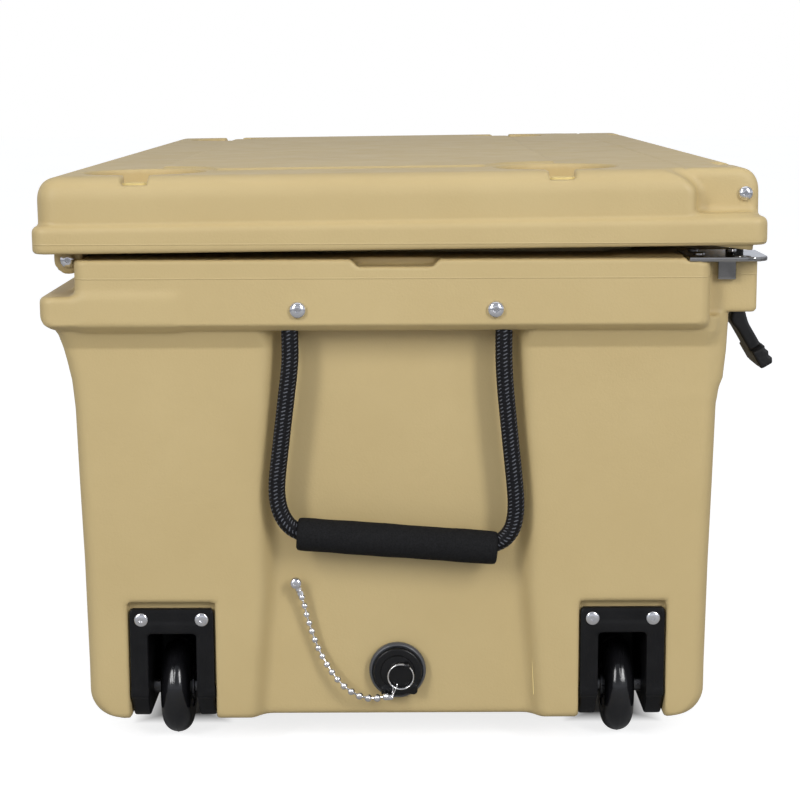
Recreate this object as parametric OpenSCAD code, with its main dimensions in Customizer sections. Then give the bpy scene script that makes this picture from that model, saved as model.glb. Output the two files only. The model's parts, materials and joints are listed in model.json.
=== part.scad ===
/* [Overall] */
// Length over the lid skirt
lid_length = 885; // [875:1:895]
// Width over the lid skirt
lid_width = 504; // [502:1:506]
// Height of the body rim above the floor
rim_top = 358; // [356:1:360]
// Height of the underside of the body above the floor
body_bottom = 18; // [17:1:20]
// How far the unlatched lid stands open at rest, in degrees
lid_rest_tilt = 0.55; // [0.4:0.05:0.7]

/* [Shell] */
// Skin thickness of the moulded shells
skin = 5; // [4:0.5:5.5]
// Floor of the ice space above the ground
floor_top = 48; // [46:1:50]
// Rim end face behind the lid skirt's end face
rim_inset = 5; // [4:0.5:6]
// End wall behind the lid skirt's end face
wall_inset = 20; // [19:1:21]
// Depth of the handle recess behind the end wall
recess_depth = 15; // [14:1:16]

/* [Lid] */
// Diameter of a cup holder
cup_d = 88; // [86:1:90]
// Depth of a cup holder
cup_depth = 14; // [12:1:15]
// Radius of a hinge knuckle
knuckle_r = 10; // [9.5:0.5:10]

/* [Wheels] */
// Tyre diameter
tyre_d = 70; // [68:1:72]
// Tyre width
tyre_w = 22; // [20:1:23]

/* [Handles] */
// Rope diameter
rope_d = 11.5; // [11:0.1:12]
// Outer diameter of the foam grip
grip_d = 23.5; // [22:0.5:24]
// Length of the foam grip
grip_len = 140; // [134:1:146]

/* [Hidden] */
$fn = 48;

tan_color = [0.76, 0.69, 0.51];
foam_color = [0.93, 0.88, 0.66];
black = [0.06, 0.06, 0.065];
rubber = [0.09, 0.09, 0.1];
zinc = [0.8, 0.81, 0.83];
grey = [0.45, 0.47, 0.5];

half_l = lid_length / 2;
half_w = lid_width / 2;
e = 0.5;

// The latch tips reach further than the lid's back edge, so the frame is moved by half the difference.
latch_reach = 275.15;
lid_reach = half_w + 0.22;
frame_shift = (latch_reach - lid_reach) / 2;

// Rim and walls, in Y from the lid's centre
ledge_y = 249;
rim_back_y = 226;
rim_front_y = -251;
ledge_z = rim_top - 28;
rim_low = rim_top - 46;
chamfer_low = rim_top - 54;
bevel_end_low = rim_top - 64;
gusset_low = rim_top - 90;
body_y = 3;

// Ice space
cavity_x = 373;
cavity_back = 182;
cavity_front = -176;
arch_x = 150;
arch_y = 92;
arch_top = 124;

// Hinge axis
pin_y = 232.7;
pin_z = rim_top - 2.5;
hinge_pin_r = 4;
hinge_play = 0.8;
hinge_x0 = 30;
lug_len = 26;
sleeve_len = 46;
lug_gap = 1;

// Lid heights above the rim, with the lid shut flat
lid_low = rim_top + 3.9;
skirt_top = lid_low + 19.5;
lid_top = skirt_top + 33;
panel_rise = 3;
upper_inset = 6;
cup_x = 72;
cup_back_y = 182;
cup_front_y = -113;
scoop_x = 20;
scoop_y = -205;

// Latch
latch_x = 85;
latch_w = 36;
latch_pin_y = -240.5;
latch_pin_z = rim_top + 38.5;
latch_pin_r = 3;
latch_slot_w = 40;
strap_t = 11;
kick = 30;

// Wheels and brackets
wheel_x = 65;
wheel_r = tyre_d / 2;
wheel_back_y = 165.5;
wheel_front_y = -160;
axle_r = 4;
bracket_w = 62;
bracket_top = 104;
bracket_low = 32;
bracket_face = 24;
bracket_depth = 82;
bracket_plate = 6;
cheek_top = 92;
well_w = 36;
cheek_t = 5;
well_top = 92.5;
pocket_top = 109;
pocket_x1 = 112;
axle_slot_half = 31;
axle_slot_top = 45;
bracket_screw_half = 21.8;
bracket_screw_z = 96;

// Drain
drain_y = 2.5;
drain_z = 56;
drain_r = 9;
flange_r = 20.7;
drain_face = wall_inset + recess_depth;
cap_r = 17.5;

// Handles
rope_r = rope_d / 2;
rope_off = 17;
rope_half = 75;
handle_y = 2;
handle_pivot_z = rim_top - 56;
bolt_half = 68.7;
bolt_z = rim_top - 35.5;
handle_bolt_len = 27;

// Fasteners
m6 = 3;
m5 = 2.5;

// Route of the handle rope, in the handle's plane: across and height
rope_route = [
  [75, 288], [76, 276], [78, 260], [80.5, 240], [83, 220], [85, 203], [85.5, 190], [83.5, 178],
  [78.5, 168.5], [71, 162.8], [62, 161.2], [45, 160], [15, 157.8], [-15, 155.6], [-45, 153.4],
  [-60, 152.4], [-68, 153], [-75.5, 156.5], [-81, 163.5], [-83.5, 173], [-84, 185], [-82.5, 203],
  [-80.5, 222], [-78.5, 242], [-76.5, 262], [-75.5, 276], [-75, 288]
];
grip_tilt = atan(4.2 / 57.3);
grip_mid = [0, 156.7];

// Route of the drain chain, as depth behind the skirt face, across and height
chain_route = [
  [27.5, 71.3, 111.5], [28, 69.5, 105], [28.5, 68, 98], [29, 66, 91], [29.5, 64, 84],
  [29.5, 61.5, 77], [29, 58.5, 70], [28, 55, 63.5], [27, 51, 57], [26, 46.5, 51], [25, 41.5, 45.8],
  [24, 36, 41.8], [23, 30, 38.8], [22, 24, 37.6], [21, 18.5, 37.8]
];
chain_r = 1.7;
chain_sides = 8;
rope_sides = 12;

// ---- placing ----
module in_frame() translate([0, frame_shift, 0]) children();

// s = -1 is the wheel end, s = 1 the far end; x runs inwards from the end plane
module at_end(s) translate([s * half_l, 0, 0]) mirror([s > 0 ? 1 : 0, 0, 0]) children();

module both_ends() for (s = [-1, 1]) at_end(s) children();

// turns the lid's pieces about the hinge axis to their rest position
module lid_at_rest()
  in_frame()
    translate([0, pin_y, pin_z])
      rotate([-lid_rest_tilt, 0, 0])
        translate([0, -pin_y, -pin_z])
          children();

module rod_x(x, y, z, len, r) translate([x, y, z]) rotate([0, 90, 0]) cylinder(h = len, r = r);

module rod_y(x, y, z, len, r) translate([x, y, z]) rotate([-90, 0, 0]) cylinder(h = len, r = r);

// block between two corners
module block(a, b) translate(a) cube(b - a);

module rounded_rect(x, y0, y1, r)
  union() {
    translate([-x + r, y0]) square([2 * (x - r), y1 - y0]);
    translate([-x, y0 + r]) square([2 * x, y1 - y0 - 2 * r]);
    for (px = [-x + r, x - r], py = [y0 + r, y1 - r]) translate([px, py]) circle(r = r);
  }

module slab(z0, z1, x, y0, y1, r)
  translate([0, 0, z0]) linear_extrude(height = z1 - z0) rounded_rect(x, y0, y1, r);

// solid between two rounded rectangles at two heights
module taper(low, high, $fn = 32)
  hull() {
    slab(low[0], low[0] + 0.01, low[1], low[2], low[3], low[4]);
    slab(high[0] - 0.01, high[0], high[1], high[2], high[3], high[4]);
  }

// head of a pan-head bolt whose underside is at the origin, pointing along -X
module pan_head_x(r, h)
  rotate([0, -90, 0]) {
    cylinder(h = h * 0.55, r = r);
    translate([0, 0, h * 0.55]) cylinder(h = h * 0.45, r1 = r, r2 = r * 0.62, $fn = 48);
  }

module hex_x(x, y, z, len, flats) translate([x, y, z]) rotate([0, 90, 0])
  cylinder(h = len, d = flats * 1.1547, $fn = 6);

// ---- tube swept along a route ----
function unit(v) = v / norm(v);
function tangent(p, i) = unit(p[min(i + 1, len(p) - 1)] - p[max(i - 1, 0)]);
function ring(p, i, r, n, side) =
  let (t = tangent(p, i), u = unit(side - (side * t) * t), v = cross(t, u))
    [for (k = [0:n - 1]) p[i] + r * (cos(360 * k / n) * u + sin(360 * k / n) * v)];
module tube_along(p, r, n, side) {
  rings = len(p);
  points = [for (i = [0:rings - 1]) each ring(p, i, r, n, side)];
  sides = [for (i = [0:rings - 2], k = [0:n - 1])
    [(i + 1) * n + k, (i + 1) * n + (k + 1) % n, i * n + (k + 1) % n, i * n + k]];
  first = [for (k = [0:n - 1]) k];
  last = [for (k = [n - 1:-1:0]) (rings - 1) * n + k];
  polyhedron(points = points, faces = concat(sides, [first], [last]));
}

// ---- tub ----
wall_top_ring = [bevel_end_low, half_l - wall_inset, -236, 241, 20];
gusset_ring = [gusset_low, half_l - wall_inset - 0.5, -227, 230, 20];

module tub_outline() {
  slab(ledge_z - e, rim_top, half_l - rim_inset, rim_front_y, rim_back_y, 12);
  slab(rim_low, ledge_z, half_l - rim_inset, rim_front_y, ledge_y, 12);
  taper([chamfer_low, half_l - rim_inset - 8, -243, 241, 14],
    [rim_low, half_l - rim_inset, rim_front_y, ledge_y, 12]);
  taper(wall_top_ring, [chamfer_low, half_l - rim_inset - 8, -243, 241, 14]);
  taper(gusset_ring, wall_top_ring);
  taper([body_bottom + 12, half_l - wall_inset - 4, -220.5, 226.5, 22], gusset_ring);
  taper([body_bottom, half_l - wall_inset - 14, -210, 216, 20],
    [body_bottom + 12, half_l - wall_inset - 4, -220.5, 226.5, 22]);
}

// the ice space, grown by g on every wall; it is stepped up over the wheels
module ice_space(g) {
  arch_end = arch_x - g - half_l;
  difference() {
    slab(floor_top - g, g > 0 ? rim_top - 8 : rim_top + 1, cavity_x + g, cavity_front - g, cavity_back + g,
      18 + g);
    block([-half_l, body_y + arch_y + g, floor_top - g - 1], [arch_end, half_w, arch_top - g]);
    block([-half_l, -half_w, floor_top - g - 1], [arch_end, body_y - arch_y - g, arch_top - g]);
  }
}

recess_low_half = 95;
recess_top_half = 84;
module end_recess(grow) {
  // flared centre panel under the rim, where the rope handle hangs
  translate([wall_inset - 10, body_y, 0])
    rotate([90, 0, 90])
      linear_extrude(height = recess_depth + 10 + grow)
        polygon([
          [-recess_low_half - grow, body_bottom - 5],
          [recess_low_half + grow, body_bottom - 5],
          [recess_top_half + grow, bevel_end_low],
          [recess_top_half + grow, rim_low + 4 + grow],
          [-recess_top_half - grow, rim_low + 4 + grow],
          [-recess_top_half - grow, bevel_end_low]
        ]);
}

// space for one wheel: a shallow pocket for the bracket's plate, a deep well for its
// cheeks and the wheel, and a slot that clears the axle bolt's head and nut
module wheel_pocket(y, grow) {
  plate_half = bracket_w / 2 + 1 + grow;
  well_half = well_w / 2 + cheek_t + 1 + grow;
  slot_half = axle_slot_half + grow;
  mouth = wall_inset - 12;
  under = body_bottom - 8;
  block([mouth, y - plate_half, under],
    [bracket_face + bracket_plate + grow, y + plate_half, pocket_top + grow]);
  block([mouth, y - well_half, under], [pocket_x1 + grow, y + well_half, well_top + grow]);
  block([mouth, y - slot_half, under], [wheel_x + 13 + grow, y + slot_half, axle_slot_top + grow]);
}

module foam_form()
  difference() {
    union() {
      taper([body_bottom + skin, half_l - wall_inset - 18, -208, 214, 18],
        [body_bottom + 20, half_l - wall_inset - 4 - skin, -215, 221, 18]);
      taper([body_bottom + 20, half_l - wall_inset - 4 - skin, -215, 221, 18],
        [gusset_low, half_l - wall_inset - skin, -221, 224, 18]);
      slab(gusset_low - e, rim_top - 20, half_l - wall_inset - 14, -213, 212, 18);
    }
    ice_space(skin);
    both_ends() end_recess(skin);
    at_end(-1) for (y = [wheel_back_y, wheel_front_y]) wheel_pocket(y, skin);
    at_end(-1) rod_x(drain_face - 1, drain_y, drain_z, 60, drain_r + 9);
    feet_bosses();
  }

module foam_ports(z, h) for (x = [-60, 60]) translate([x, body_y, z]) cylinder(h = h, r = 12);

feet_x = 70;
module feet_places() at_end(1) for (y = [-150, 150]) translate([feet_x, y + body_y, 0]) children();
module feet_bosses() feet_places() translate([0, 0, body_bottom - 1]) cylinder(h = 18, r = 9);

module tub_shell()
  color(tan_color) in_frame() difference() {
    union() {
      tub_outline();
      both_ends() body_knuckle();
    }
    ice_space(0);
    foam_form();
    both_ends() {
      end_recess(0);
      corner_cut();
      rim_notch();
      plate_notch();
      lid_lug_pockets();
      latch_channel();
      // holes for the rope ends, their bolts and the lock plate's screws
      for (k = [-1, 1]) {
        translate([rope_off, handle_y + k * rope_half, rim_low - 2]) cylinder(h = 27, r = rope_r + 0.6);
        rod_x(rim_inset - 1, handle_y + k * bolt_half, bolt_z, handle_bolt_len + 2, m6 + 0.1);
      }
      for (p = plate_screws) translate([p[0], p[1], rim_top - 18]) cylinder(h = 20, r = 2.1);
      rod_x(hinge_x0 - 6, pin_y, pin_z, 2 * lug_len + sleeve_len + 22, hinge_pin_r + 2.05);
    }
    at_end(-1) {
      for (y = [wheel_back_y, wheel_front_y]) {
        wheel_pocket(y, 0);
        for (k = [-1, 1]) rod_x(bracket_face, y + k * bracket_screw_half, bracket_screw_z, 20, m5 + 0.05);
      }
      rod_x(drain_face - 6, drain_y, drain_z, 60, drain_r + 3.1);
      chain_screw_hole();
    }
    feet_places() translate([0, 0, body_bottom - 1]) cylinder(h = 15, r = m5 + 0.05);
    foam_ports(body_bottom - 1, skin + 2);
  }

// knuckle that stands on the ledge and carries the hinge sleeve; its web stops short
// enough behind the pin for the open lid's skirt to hang down past it
knuckle_web = 1;
knuckle_x = hinge_x0 + lug_len + lug_gap;
module body_knuckle()
  translate([knuckle_x, 0, 0]) {
    rod_x(0, pin_y, pin_z, sleeve_len, knuckle_r);
    block([0, rim_back_y - 4, ledge_z - e], [sleeve_len, pin_y + knuckle_web, pin_z]);
  }

// open corner below the lock plate, where a padlock hangs
module corner_cut()
  block([-10, rim_front_y - 10, chamfer_low - 12], [22, -217, rim_top + 10]);

module rim_notch()
  translate([-1, body_y, 0])
    rotate([90, 0, 90])
      linear_extrude(height = 22)
        polygon([[-25, rim_top - 6], [25, rim_top - 6], [31, rim_top + e], [-31, rim_top + e]]);

plate_screws = [[34, -211], [62, -211], [62, -238]];
module plate_notch()
  block([-1, rim_front_y - 10, rim_top - 3.2], [72, -199, rim_top + 10]);

module lid_lug_pockets() {
  for (x = [hinge_x0 - 7, knuckle_x + sleeve_len]) {
    rod_x(x, pin_y, pin_z, x < hinge_x0 ? lug_len + 8 : lug_len + 14, knuckle_r + hinge_play);
  }
}

// open-fronted channel in the rim for the rubber strap
module latch_channel()
  block([latch_x - latch_slot_w / 2, rim_front_y - 10, chamfer_low - 20],
    [latch_x + latch_slot_w / 2, -238.5, rim_top + 10]);

module tub_foam() color(foam_color) in_frame() difference() {
  foam_form();
  at_end(-1) {
    chain_screw_hole();
    for (y = [wheel_back_y, wheel_front_y], k = [-1, 1])
      rod_x(bracket_face, y + k * bracket_screw_half, bracket_screw_z, 20, m5 + 0.05);
  }
}

module foam_plugs() color(tan_color) in_frame() foam_ports(body_bottom, skin);

module rubber_feet()
  color(rubber) in_frame() feet_places() difference() {
    union() {
      cylinder(h = 5, r1 = 23, r2 = 25, $fn = 48);
      translate([0, 0, 5]) cylinder(h = body_bottom - 5, r = 25);
    }
    translate([0, 0, -1]) cylinder(h = 9, r = 6);
    cylinder(h = body_bottom + 1, r = m5 + 0.1);
  }

module feet_screws()
  color(zinc) in_frame() feet_places() {
    translate([0, 0, 4]) cylinder(h = 4, r = 4.7);
    translate([0, 0, 8]) cylinder(h = body_bottom + 4, r = m5);
  }

// ---- wheels ----
module wheel_bracket(y) {
  inner = well_w / 2;
  outer = bracket_w / 2;
  back = bracket_face + bracket_plate;
  at_end(-1) translate([0, y, 0]) difference() {
    union() {
      // front plate with its two legs
      block([bracket_face, -outer, bracket_top - 18], [back, outer, bracket_top]);
      block([bracket_face, inner, bracket_low], [back, outer, bracket_top - 17]);
      block([bracket_face, -outer, bracket_low], [back, -inner, bracket_top - 17]);
      // cheeks that hold the axle, and the web that joins them over the wheel
      block([bracket_face, inner, 22], [bracket_face + bracket_depth, inner + cheek_t, cheek_top]);
      block([bracket_face, -inner - cheek_t, 22], [bracket_face + bracket_depth, -inner, cheek_top]);
      block([bracket_face, -inner - 1, cheek_top - 6],
        [bracket_face + bracket_depth, inner + 1, cheek_top]);
      // wall that closes the housing behind the wheel
      block([bracket_face + bracket_depth - 3, -inner - cheek_t, 22],
        [bracket_face + bracket_depth, inner + cheek_t, cheek_top]);
    }
    rod_y(wheel_x, -bracket_w, wheel_r, 2 * bracket_w, axle_r + 0.05);
    for (k = [-1, 1]) rod_x(bracket_face - 1, k * bracket_screw_half, bracket_screw_z, 10, m5 + 0.1);
  }
}

module wheel_bracket_back() color(black) in_frame() wheel_bracket(wheel_back_y);
module wheel_bracket_front() color(black) in_frame() wheel_bracket(wheel_front_y);

module bracket_screws()
  color(zinc) in_frame() at_end(-1)
    for (y = [wheel_back_y, wheel_front_y], k = [-1, 1])
      translate([bracket_face, y + k * bracket_screw_half, bracket_screw_z]) {
        pan_head_x(4.8, 3);
        rotate([0, 90, 0]) cylinder(h = 18, r = m5);
      }

axle_half = well_w / 2 + cheek_t;
module axle_bolt(y)
  at_end(-1) {
    rod_y(wheel_x, y - axle_half, wheel_r, 2 * axle_half + 7, axle_r);
    rod_y(wheel_x, y - axle_half - 4, wheel_r, 4, 6.5);
  }
module axle_bolt_back() color(zinc) in_frame() axle_bolt(wheel_back_y);
module axle_bolt_front() color(zinc) in_frame() axle_bolt(wheel_front_y);

module axle_nuts()
  color(zinc) in_frame() at_end(-1) for (y = [wheel_back_y, wheel_front_y])
    translate([wheel_x, y + axle_half, wheel_r]) rotate([-90, 0, 0]) difference() {
      cylinder(h = 6, d = 13 * 1.1547, $fn = 6);
      translate([0, 0, -1]) cylinder(h = 8, r = axle_r);
    }

bearing_half = tyre_w / 2 + 1;
spacer_gap = 0.3;
module axle_spacers()
  color(zinc) in_frame() at_end(-1) for (y = [wheel_back_y, wheel_front_y], k = [-1, 1])
    translate([wheel_x, y + (k > 0 ? bearing_half + spacer_gap : -well_w / 2), wheel_r]) rotate([-90, 0, 0])
      difference() {
      cylinder(h = well_w / 2 - bearing_half - spacer_gap, r = 6);
      translate([0, 0, -1]) cylinder(h = 20, r = axle_r + 0.05);
    }

module wheel_place(y) in_frame() at_end(-1) translate([wheel_x, y, wheel_r]) rotate([-90, 0, 0]) children();

hub_r = 17;
module wheel_tyre()
  color(black) rotate_extrude($fn = 72) difference() {
    union() {
      translate([hub_r, -tyre_w / 2]) square([wheel_r - hub_r - tyre_w / 2, tyre_w]);
      translate([wheel_r - tyre_w / 2, 0]) circle(r = tyre_w / 2);
    }
    translate([-50, -50]) square([50 + hub_r, 100]);
  }

module wheel_hub()
  color(grey) difference() {
    union() {
      translate([0, 0, -tyre_w / 2 + 1]) cylinder(h = tyre_w - 2, r = hub_r);
    }
    translate([0, 0, -tyre_w]) cylinder(h = 2 * tyre_w, r = 9);
    for (k = [0:4]) rotate([0, 0, 72 * k]) translate([13, 0, -tyre_w]) cylinder(h = 2 * tyre_w, r = 2);
    for (z = [-bearing_half - 1, bearing_half - 7]) translate([0, 0, z]) cylinder(h = 8, r = 11);
  }

module wheel_bearings()
  color(zinc) for (z = [-bearing_half, bearing_half - 7]) translate([0, 0, z]) difference() {
    cylinder(h = 7, r = 11);
    translate([0, 0, -1]) cylinder(h = 9, r = axle_r + 0.05);
  }

module wheel_tyre_back() wheel_place(wheel_back_y) wheel_tyre();
module wheel_hub_back() wheel_place(wheel_back_y) wheel_hub();
module wheel_bearings_back() wheel_place(wheel_back_y) wheel_bearings();
module wheel_tyre_front() wheel_place(wheel_front_y) wheel_tyre();
module wheel_hub_front() wheel_place(wheel_front_y) wheel_hub();
module wheel_bearings_front() wheel_place(wheel_front_y) wheel_bearings();

// ---- drain ----
gasket_t = 2;
flange_t = 5;
drain_inner = half_l - cavity_x;
module drain_place(x) in_frame() at_end(-1) translate([x, drain_y, drain_z]) rotate([0, 90, 0]) children();

module drain_flange()
  color(grey) drain_place(drain_face - gasket_t) difference() {
    union() {
      translate([0, 0, -flange_t]) cylinder(h = flange_t, r = flange_r);
      cylinder(h = gasket_t + 14, r = drain_r + 3);
    }
    translate([0, 0, -flange_t - 1]) cylinder(h = 60, r = drain_r);
    translate([0, 0, -flange_t - 1]) cylinder(h = 3, r = cap_r + 0.8);
  }

module drain_gasket()
  color(rubber) drain_place(drain_face - gasket_t) difference() {
    cylinder(h = gasket_t, r = flange_r - 1);
    translate([0, 0, -1]) cylinder(h = 9, r = drain_r + 3);
  }

module drain_tube()
  color(grey) drain_place(drain_face + 14) difference() {
    cylinder(h = drain_inner - drain_face - 14 + 3, r = drain_r + 3);
    translate([0, 0, -1]) cylinder(h = 80, r = drain_r);
  }

module drain_nut()
  color(grey) drain_place(drain_inner) intersection() {
    difference() {
      cylinder(h = 5, r = 17, $fn = 8);
      translate([0, 0, -1]) cylinder(h = 9, r = drain_r + 3);
    }
    translate([-(drain_z - floor_top) - 100 + 15.5, -50, -1]) cube([100, 100, 10]);
  }

cap_face = 3;
module drain_cap()
  color(black) drain_place(drain_face - gasket_t - flange_t) difference() {
    union() {
      translate([0, 0, -cap_face]) cylinder(h = cap_face + 1.7, r = cap_r);
      translate([0, 0, 1.7]) cylinder(h = 14, r = drain_r - 0.5);
      // two finger lugs at the edge of the cap
      for (k = [-1, 1]) rotate([0, 0, 28 * k]) translate([cap_r + 0.5, 0, -cap_face])
        cylinder(h = cap_face - 0.4, r = 3.6);
    }
    translate([0, 0, 6]) difference() {
      cylinder(h = 2.4, r = drain_r + 1);
      translate([0, 0, -1]) cylinder(h = 9, r = drain_r - 2);
    }
    translate([0, 0, -cap_face - 1]) cylinder(h = 5, r = 3.05);
  }

module drain_cap_seal()
  color(rubber) drain_place(drain_face - gasket_t - flange_t + 6)
    difference() {
      translate([0, 0, 0.1]) cylinder(h = 2.2, r = drain_r - 0.1);
      translate([0, 0, -1]) cylinder(h = 9, r = drain_r - 1.9);
    }

// swivel disc on the cap's face, with a stem in the cap and an eye that holds the ring
ring_gap = 4.2;
ring_r = 9.2;
ring_wire = 0.75;
ring_dy = -2.3;
ring_dz = -2.2;
eye_dy = -6.8;
eye_dz = 5.8;
swivel_r = 12.5;
module ring_swivel()
  color(black) drain_place(drain_face - gasket_t - flange_t - cap_face) difference() {
    union() {
      translate([0, 0, -1.5]) cylinder(h = 1.3, r = swivel_r);
      translate([0, 0, -1.5]) cylinder(h = 5, r = 3);
      translate([-eye_dz, eye_dy, -ring_gap - 2.3]) cylinder(h = ring_gap + 1.3, r = 2.4);
    }
    translate([-ring_dz, ring_dy, -ring_gap]) ring_torus(0.05);
  }

module ring_torus(grow)
  rotate_extrude($fn = 64) translate([ring_r, 0]) circle(r = ring_wire + grow, $fn = 16);

ring_x = drain_face - gasket_t - flange_t - cap_face - ring_gap;
module split_ring()
  color(zinc) in_frame() at_end(-1) translate([ring_x, drain_y + ring_dy, drain_z + ring_dz])
    rotate([0, 90, 0])
    ring_torus(0);

// wire link and barrel that join the ring to the chain
link_y = drain_y + 2.1;
barrel_z = 38.5;
link_barrel = 12.6;
module chain_link()
  color(zinc) in_frame() at_end(-1) {
    translate([ring_x - ring_wire - 0.6, link_y, barrel_z]) cylinder(h = 8.5, r = 0.6);
    translate([ring_x - ring_wire - 0.6, link_y - 0.5, barrel_z]) rotate([-90, 0, 0])
      cylinder(h = link_barrel, r = 2);
  }

// screw that anchors the chain, and the eyelet with its barrel that hangs on it
anchor_y = 75.5;
anchor_z = 122;
anchor_r = 2;
anchor_out = 8.5;
anchor_in = 11;
module chain_screw_hole() rod_x(drain_face - 2, anchor_y, anchor_z, anchor_in + 3, anchor_r + 0.05);
module chain_screw()
  color(zinc) in_frame() at_end(-1) {
    rod_x(drain_face - anchor_out, anchor_y, anchor_z, anchor_out + anchor_in, anchor_r);
    translate([drain_face - anchor_out, anchor_y, anchor_z]) pan_head_x(4.2, 2.6);
    translate([drain_face - anchor_out + 1.4, anchor_y, anchor_z]) difference() {
      union() {
        rod_x(-0.7, 0, 0, 1.4, 4);
        rotate([-21.8, 0, 0]) translate([0, 0, -9.5]) cylinder(h = 6.5, r = 1.9);
      }
      rod_x(-5, 0, 0, 10, anchor_r + 0.05);
    }
  }

module drain_chain()
  color(zinc) in_frame() tube_along([for (p = chain_route) [p[0] - half_l, p[1], p[2]]], chain_r,
    chain_sides, [1, 0, 0]);

// ---- handles ----
module handle_bolts()
  color(zinc) in_frame() both_ends() for (k = [-1, 1])
    translate([rim_inset, handle_y + k * bolt_half, bolt_z]) {
    pan_head_x(6, 4);
    rotate([0, 90, 0]) cylinder(h = handle_bolt_len, r = m6);
  }

module rope_ends()
  color(rubber) in_frame() both_ends() for (k = [-1, 1]) difference() {
    translate([rope_off, handle_y + k * rope_half, handle_pivot_z - 8])
      cylinder(h = rim_low + 23 - handle_pivot_z + 8, r = rope_r);
    rod_x(0, handle_y + k * bolt_half, bolt_z, 40, m6 + 0.1);
  }

function handle_points(s) = [for (p = rope_route) [s * (half_l - rope_off), p[0] + handle_y, p[1]]];

module handle_rope_wheel_end() color(rubber) in_frame()
  tube_along(handle_points(-1), rope_r, rope_sides, [1, 0, 0]);
module handle_rope_far_end() color(rubber) in_frame()
  tube_along(handle_points(1), rope_r, rope_sides, [1, 0, 0]);

module handle_grip(s)
  color(black) in_frame() translate([s * (half_l - rope_off), handle_y + grip_mid[0], grip_mid[1]])
    rotate([grip_tilt, 0, 0]) rotate([-90, 0, 0]) difference() {
      translate([0, 0, -grip_len / 2]) cylinder(h = grip_len, r = grip_d / 2);
      translate([0, 0, -grip_len]) cylinder(h = 2 * grip_len, r = rope_r + 1.6);
    }
module handle_grip_wheel_end() handle_grip(-1);
module handle_grip_far_end() handle_grip(1);

// ---- lock plates ----
module lock_plate()
  difference() {
    union() {
      block([rim_inset, -250, rim_top - 3.2], [70, -200, rim_top - 0.2]);
      block([12, -256, rim_top - 3.2], [70, -249, rim_top - 0.2]);
      translate([17, -243, rim_top - 3.2]) cylinder(h = 3, r = 13);
      // tooth of the bottle opener, bent down behind the corner
      block([18.5, -235, rim_top - 17], [21.5, -222, rim_top - 0.2]);
    }
    translate([13, -238, rim_top - 5]) cylinder(h = 10, r = 5);
    for (p = plate_screws) translate([p[0], p[1], rim_top - 5]) cylinder(h = 10, r = 2.2);
    block([rim_inset - 1, -251, rim_top - 5], [rim_inset + 3, -244, rim_top + 2]);
    block([latch_x - latch_slot_w / 2, -260, rim_top - 5], [latch_x + 30, -238.5, rim_top + 2]);
  }
module lock_plate_wheel_end() color(zinc) in_frame() at_end(-1) lock_plate();
module lock_plate_far_end() color(zinc) in_frame() at_end(1) lock_plate();

module lock_plate_screws()
  color(zinc) in_frame() both_ends() for (p = plate_screws) translate([p[0], p[1], 0]) {
    translate([0, 0, rim_top - 0.2]) cylinder(h = 1.6, r = 4);
    translate([0, 0, rim_top - 16]) cylinder(h = 16, r = 2.05);
  }

module hinge_sleeves()
  color(black) in_frame() both_ends() translate([knuckle_x, pin_y, pin_z]) rotate([0, 90, 0]) difference() {
    cylinder(h = sleeve_len, r = hinge_pin_r + 2);
    translate([0, 0, -1]) cylinder(h = sleeve_len + 2, r = hinge_pin_r + 0.06);
  }

// ---- lid, drawn shut flat and then turned to rest ----
plug_x = cavity_x - 6;
plug_back = cavity_back - 6;
plug_front = cavity_front + 6;
plug_drop = 22;

module lid_outline() {
  slab(lid_low, skirt_top - 3, half_l, -half_w, half_w, 14);
  taper([skirt_top - 3 - 0.01, half_l, -half_w, half_w, 14],
    [skirt_top, half_l - 3, -half_w + 3, half_w - 3, 13]);
  slab(skirt_top - e, lid_top - 14, half_l - 4, -half_w + upper_inset, half_w - upper_inset, 16);
  taper([lid_top - 14 - 0.01, half_l - 4, -half_w + upper_inset, half_w - upper_inset, 16],
    [lid_top - 5, half_l - 9, -half_w + upper_inset + 5, half_w - upper_inset - 5, 18]);
  taper([lid_top - 5 - 0.01, half_l - 9, -half_w + upper_inset + 5, half_w - upper_inset - 5, 18],
    [lid_top, half_l - 20, -half_w + upper_inset + 16, half_w - upper_inset - 16, 20]);
  slab(lid_top - e, lid_top + panel_rise, half_l - cup_x - 8, cup_front_y - 3, cup_back_y - 7, 10);
  // liner plug that drops into the ice space
  slab(lid_low - plug_drop, lid_low + e, plug_x, plug_front, plug_back, 16);
}

module lid_void()
  difference() {
    union() {
      slab(lid_low + skin, lid_top - skin, half_l - 4 - skin - 5, -half_w + 60, half_w - 36, 12);
      slab(lid_low - plug_drop + skin, lid_low + skin + e, plug_x - skin, plug_front + skin,
        plug_back - skin, 12);
    }
    both_ends() {
      for (y = [cup_back_y, cup_front_y]) translate([cup_x, y, lid_top - cup_depth - skin])
        cylinder(h = 60, r = cup_d / 2 + skin);
      block([-1, -half_w, lid_low - 30], [scoop_x + 6, scoop_y + 6, lid_top]);
    }
  }

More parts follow.
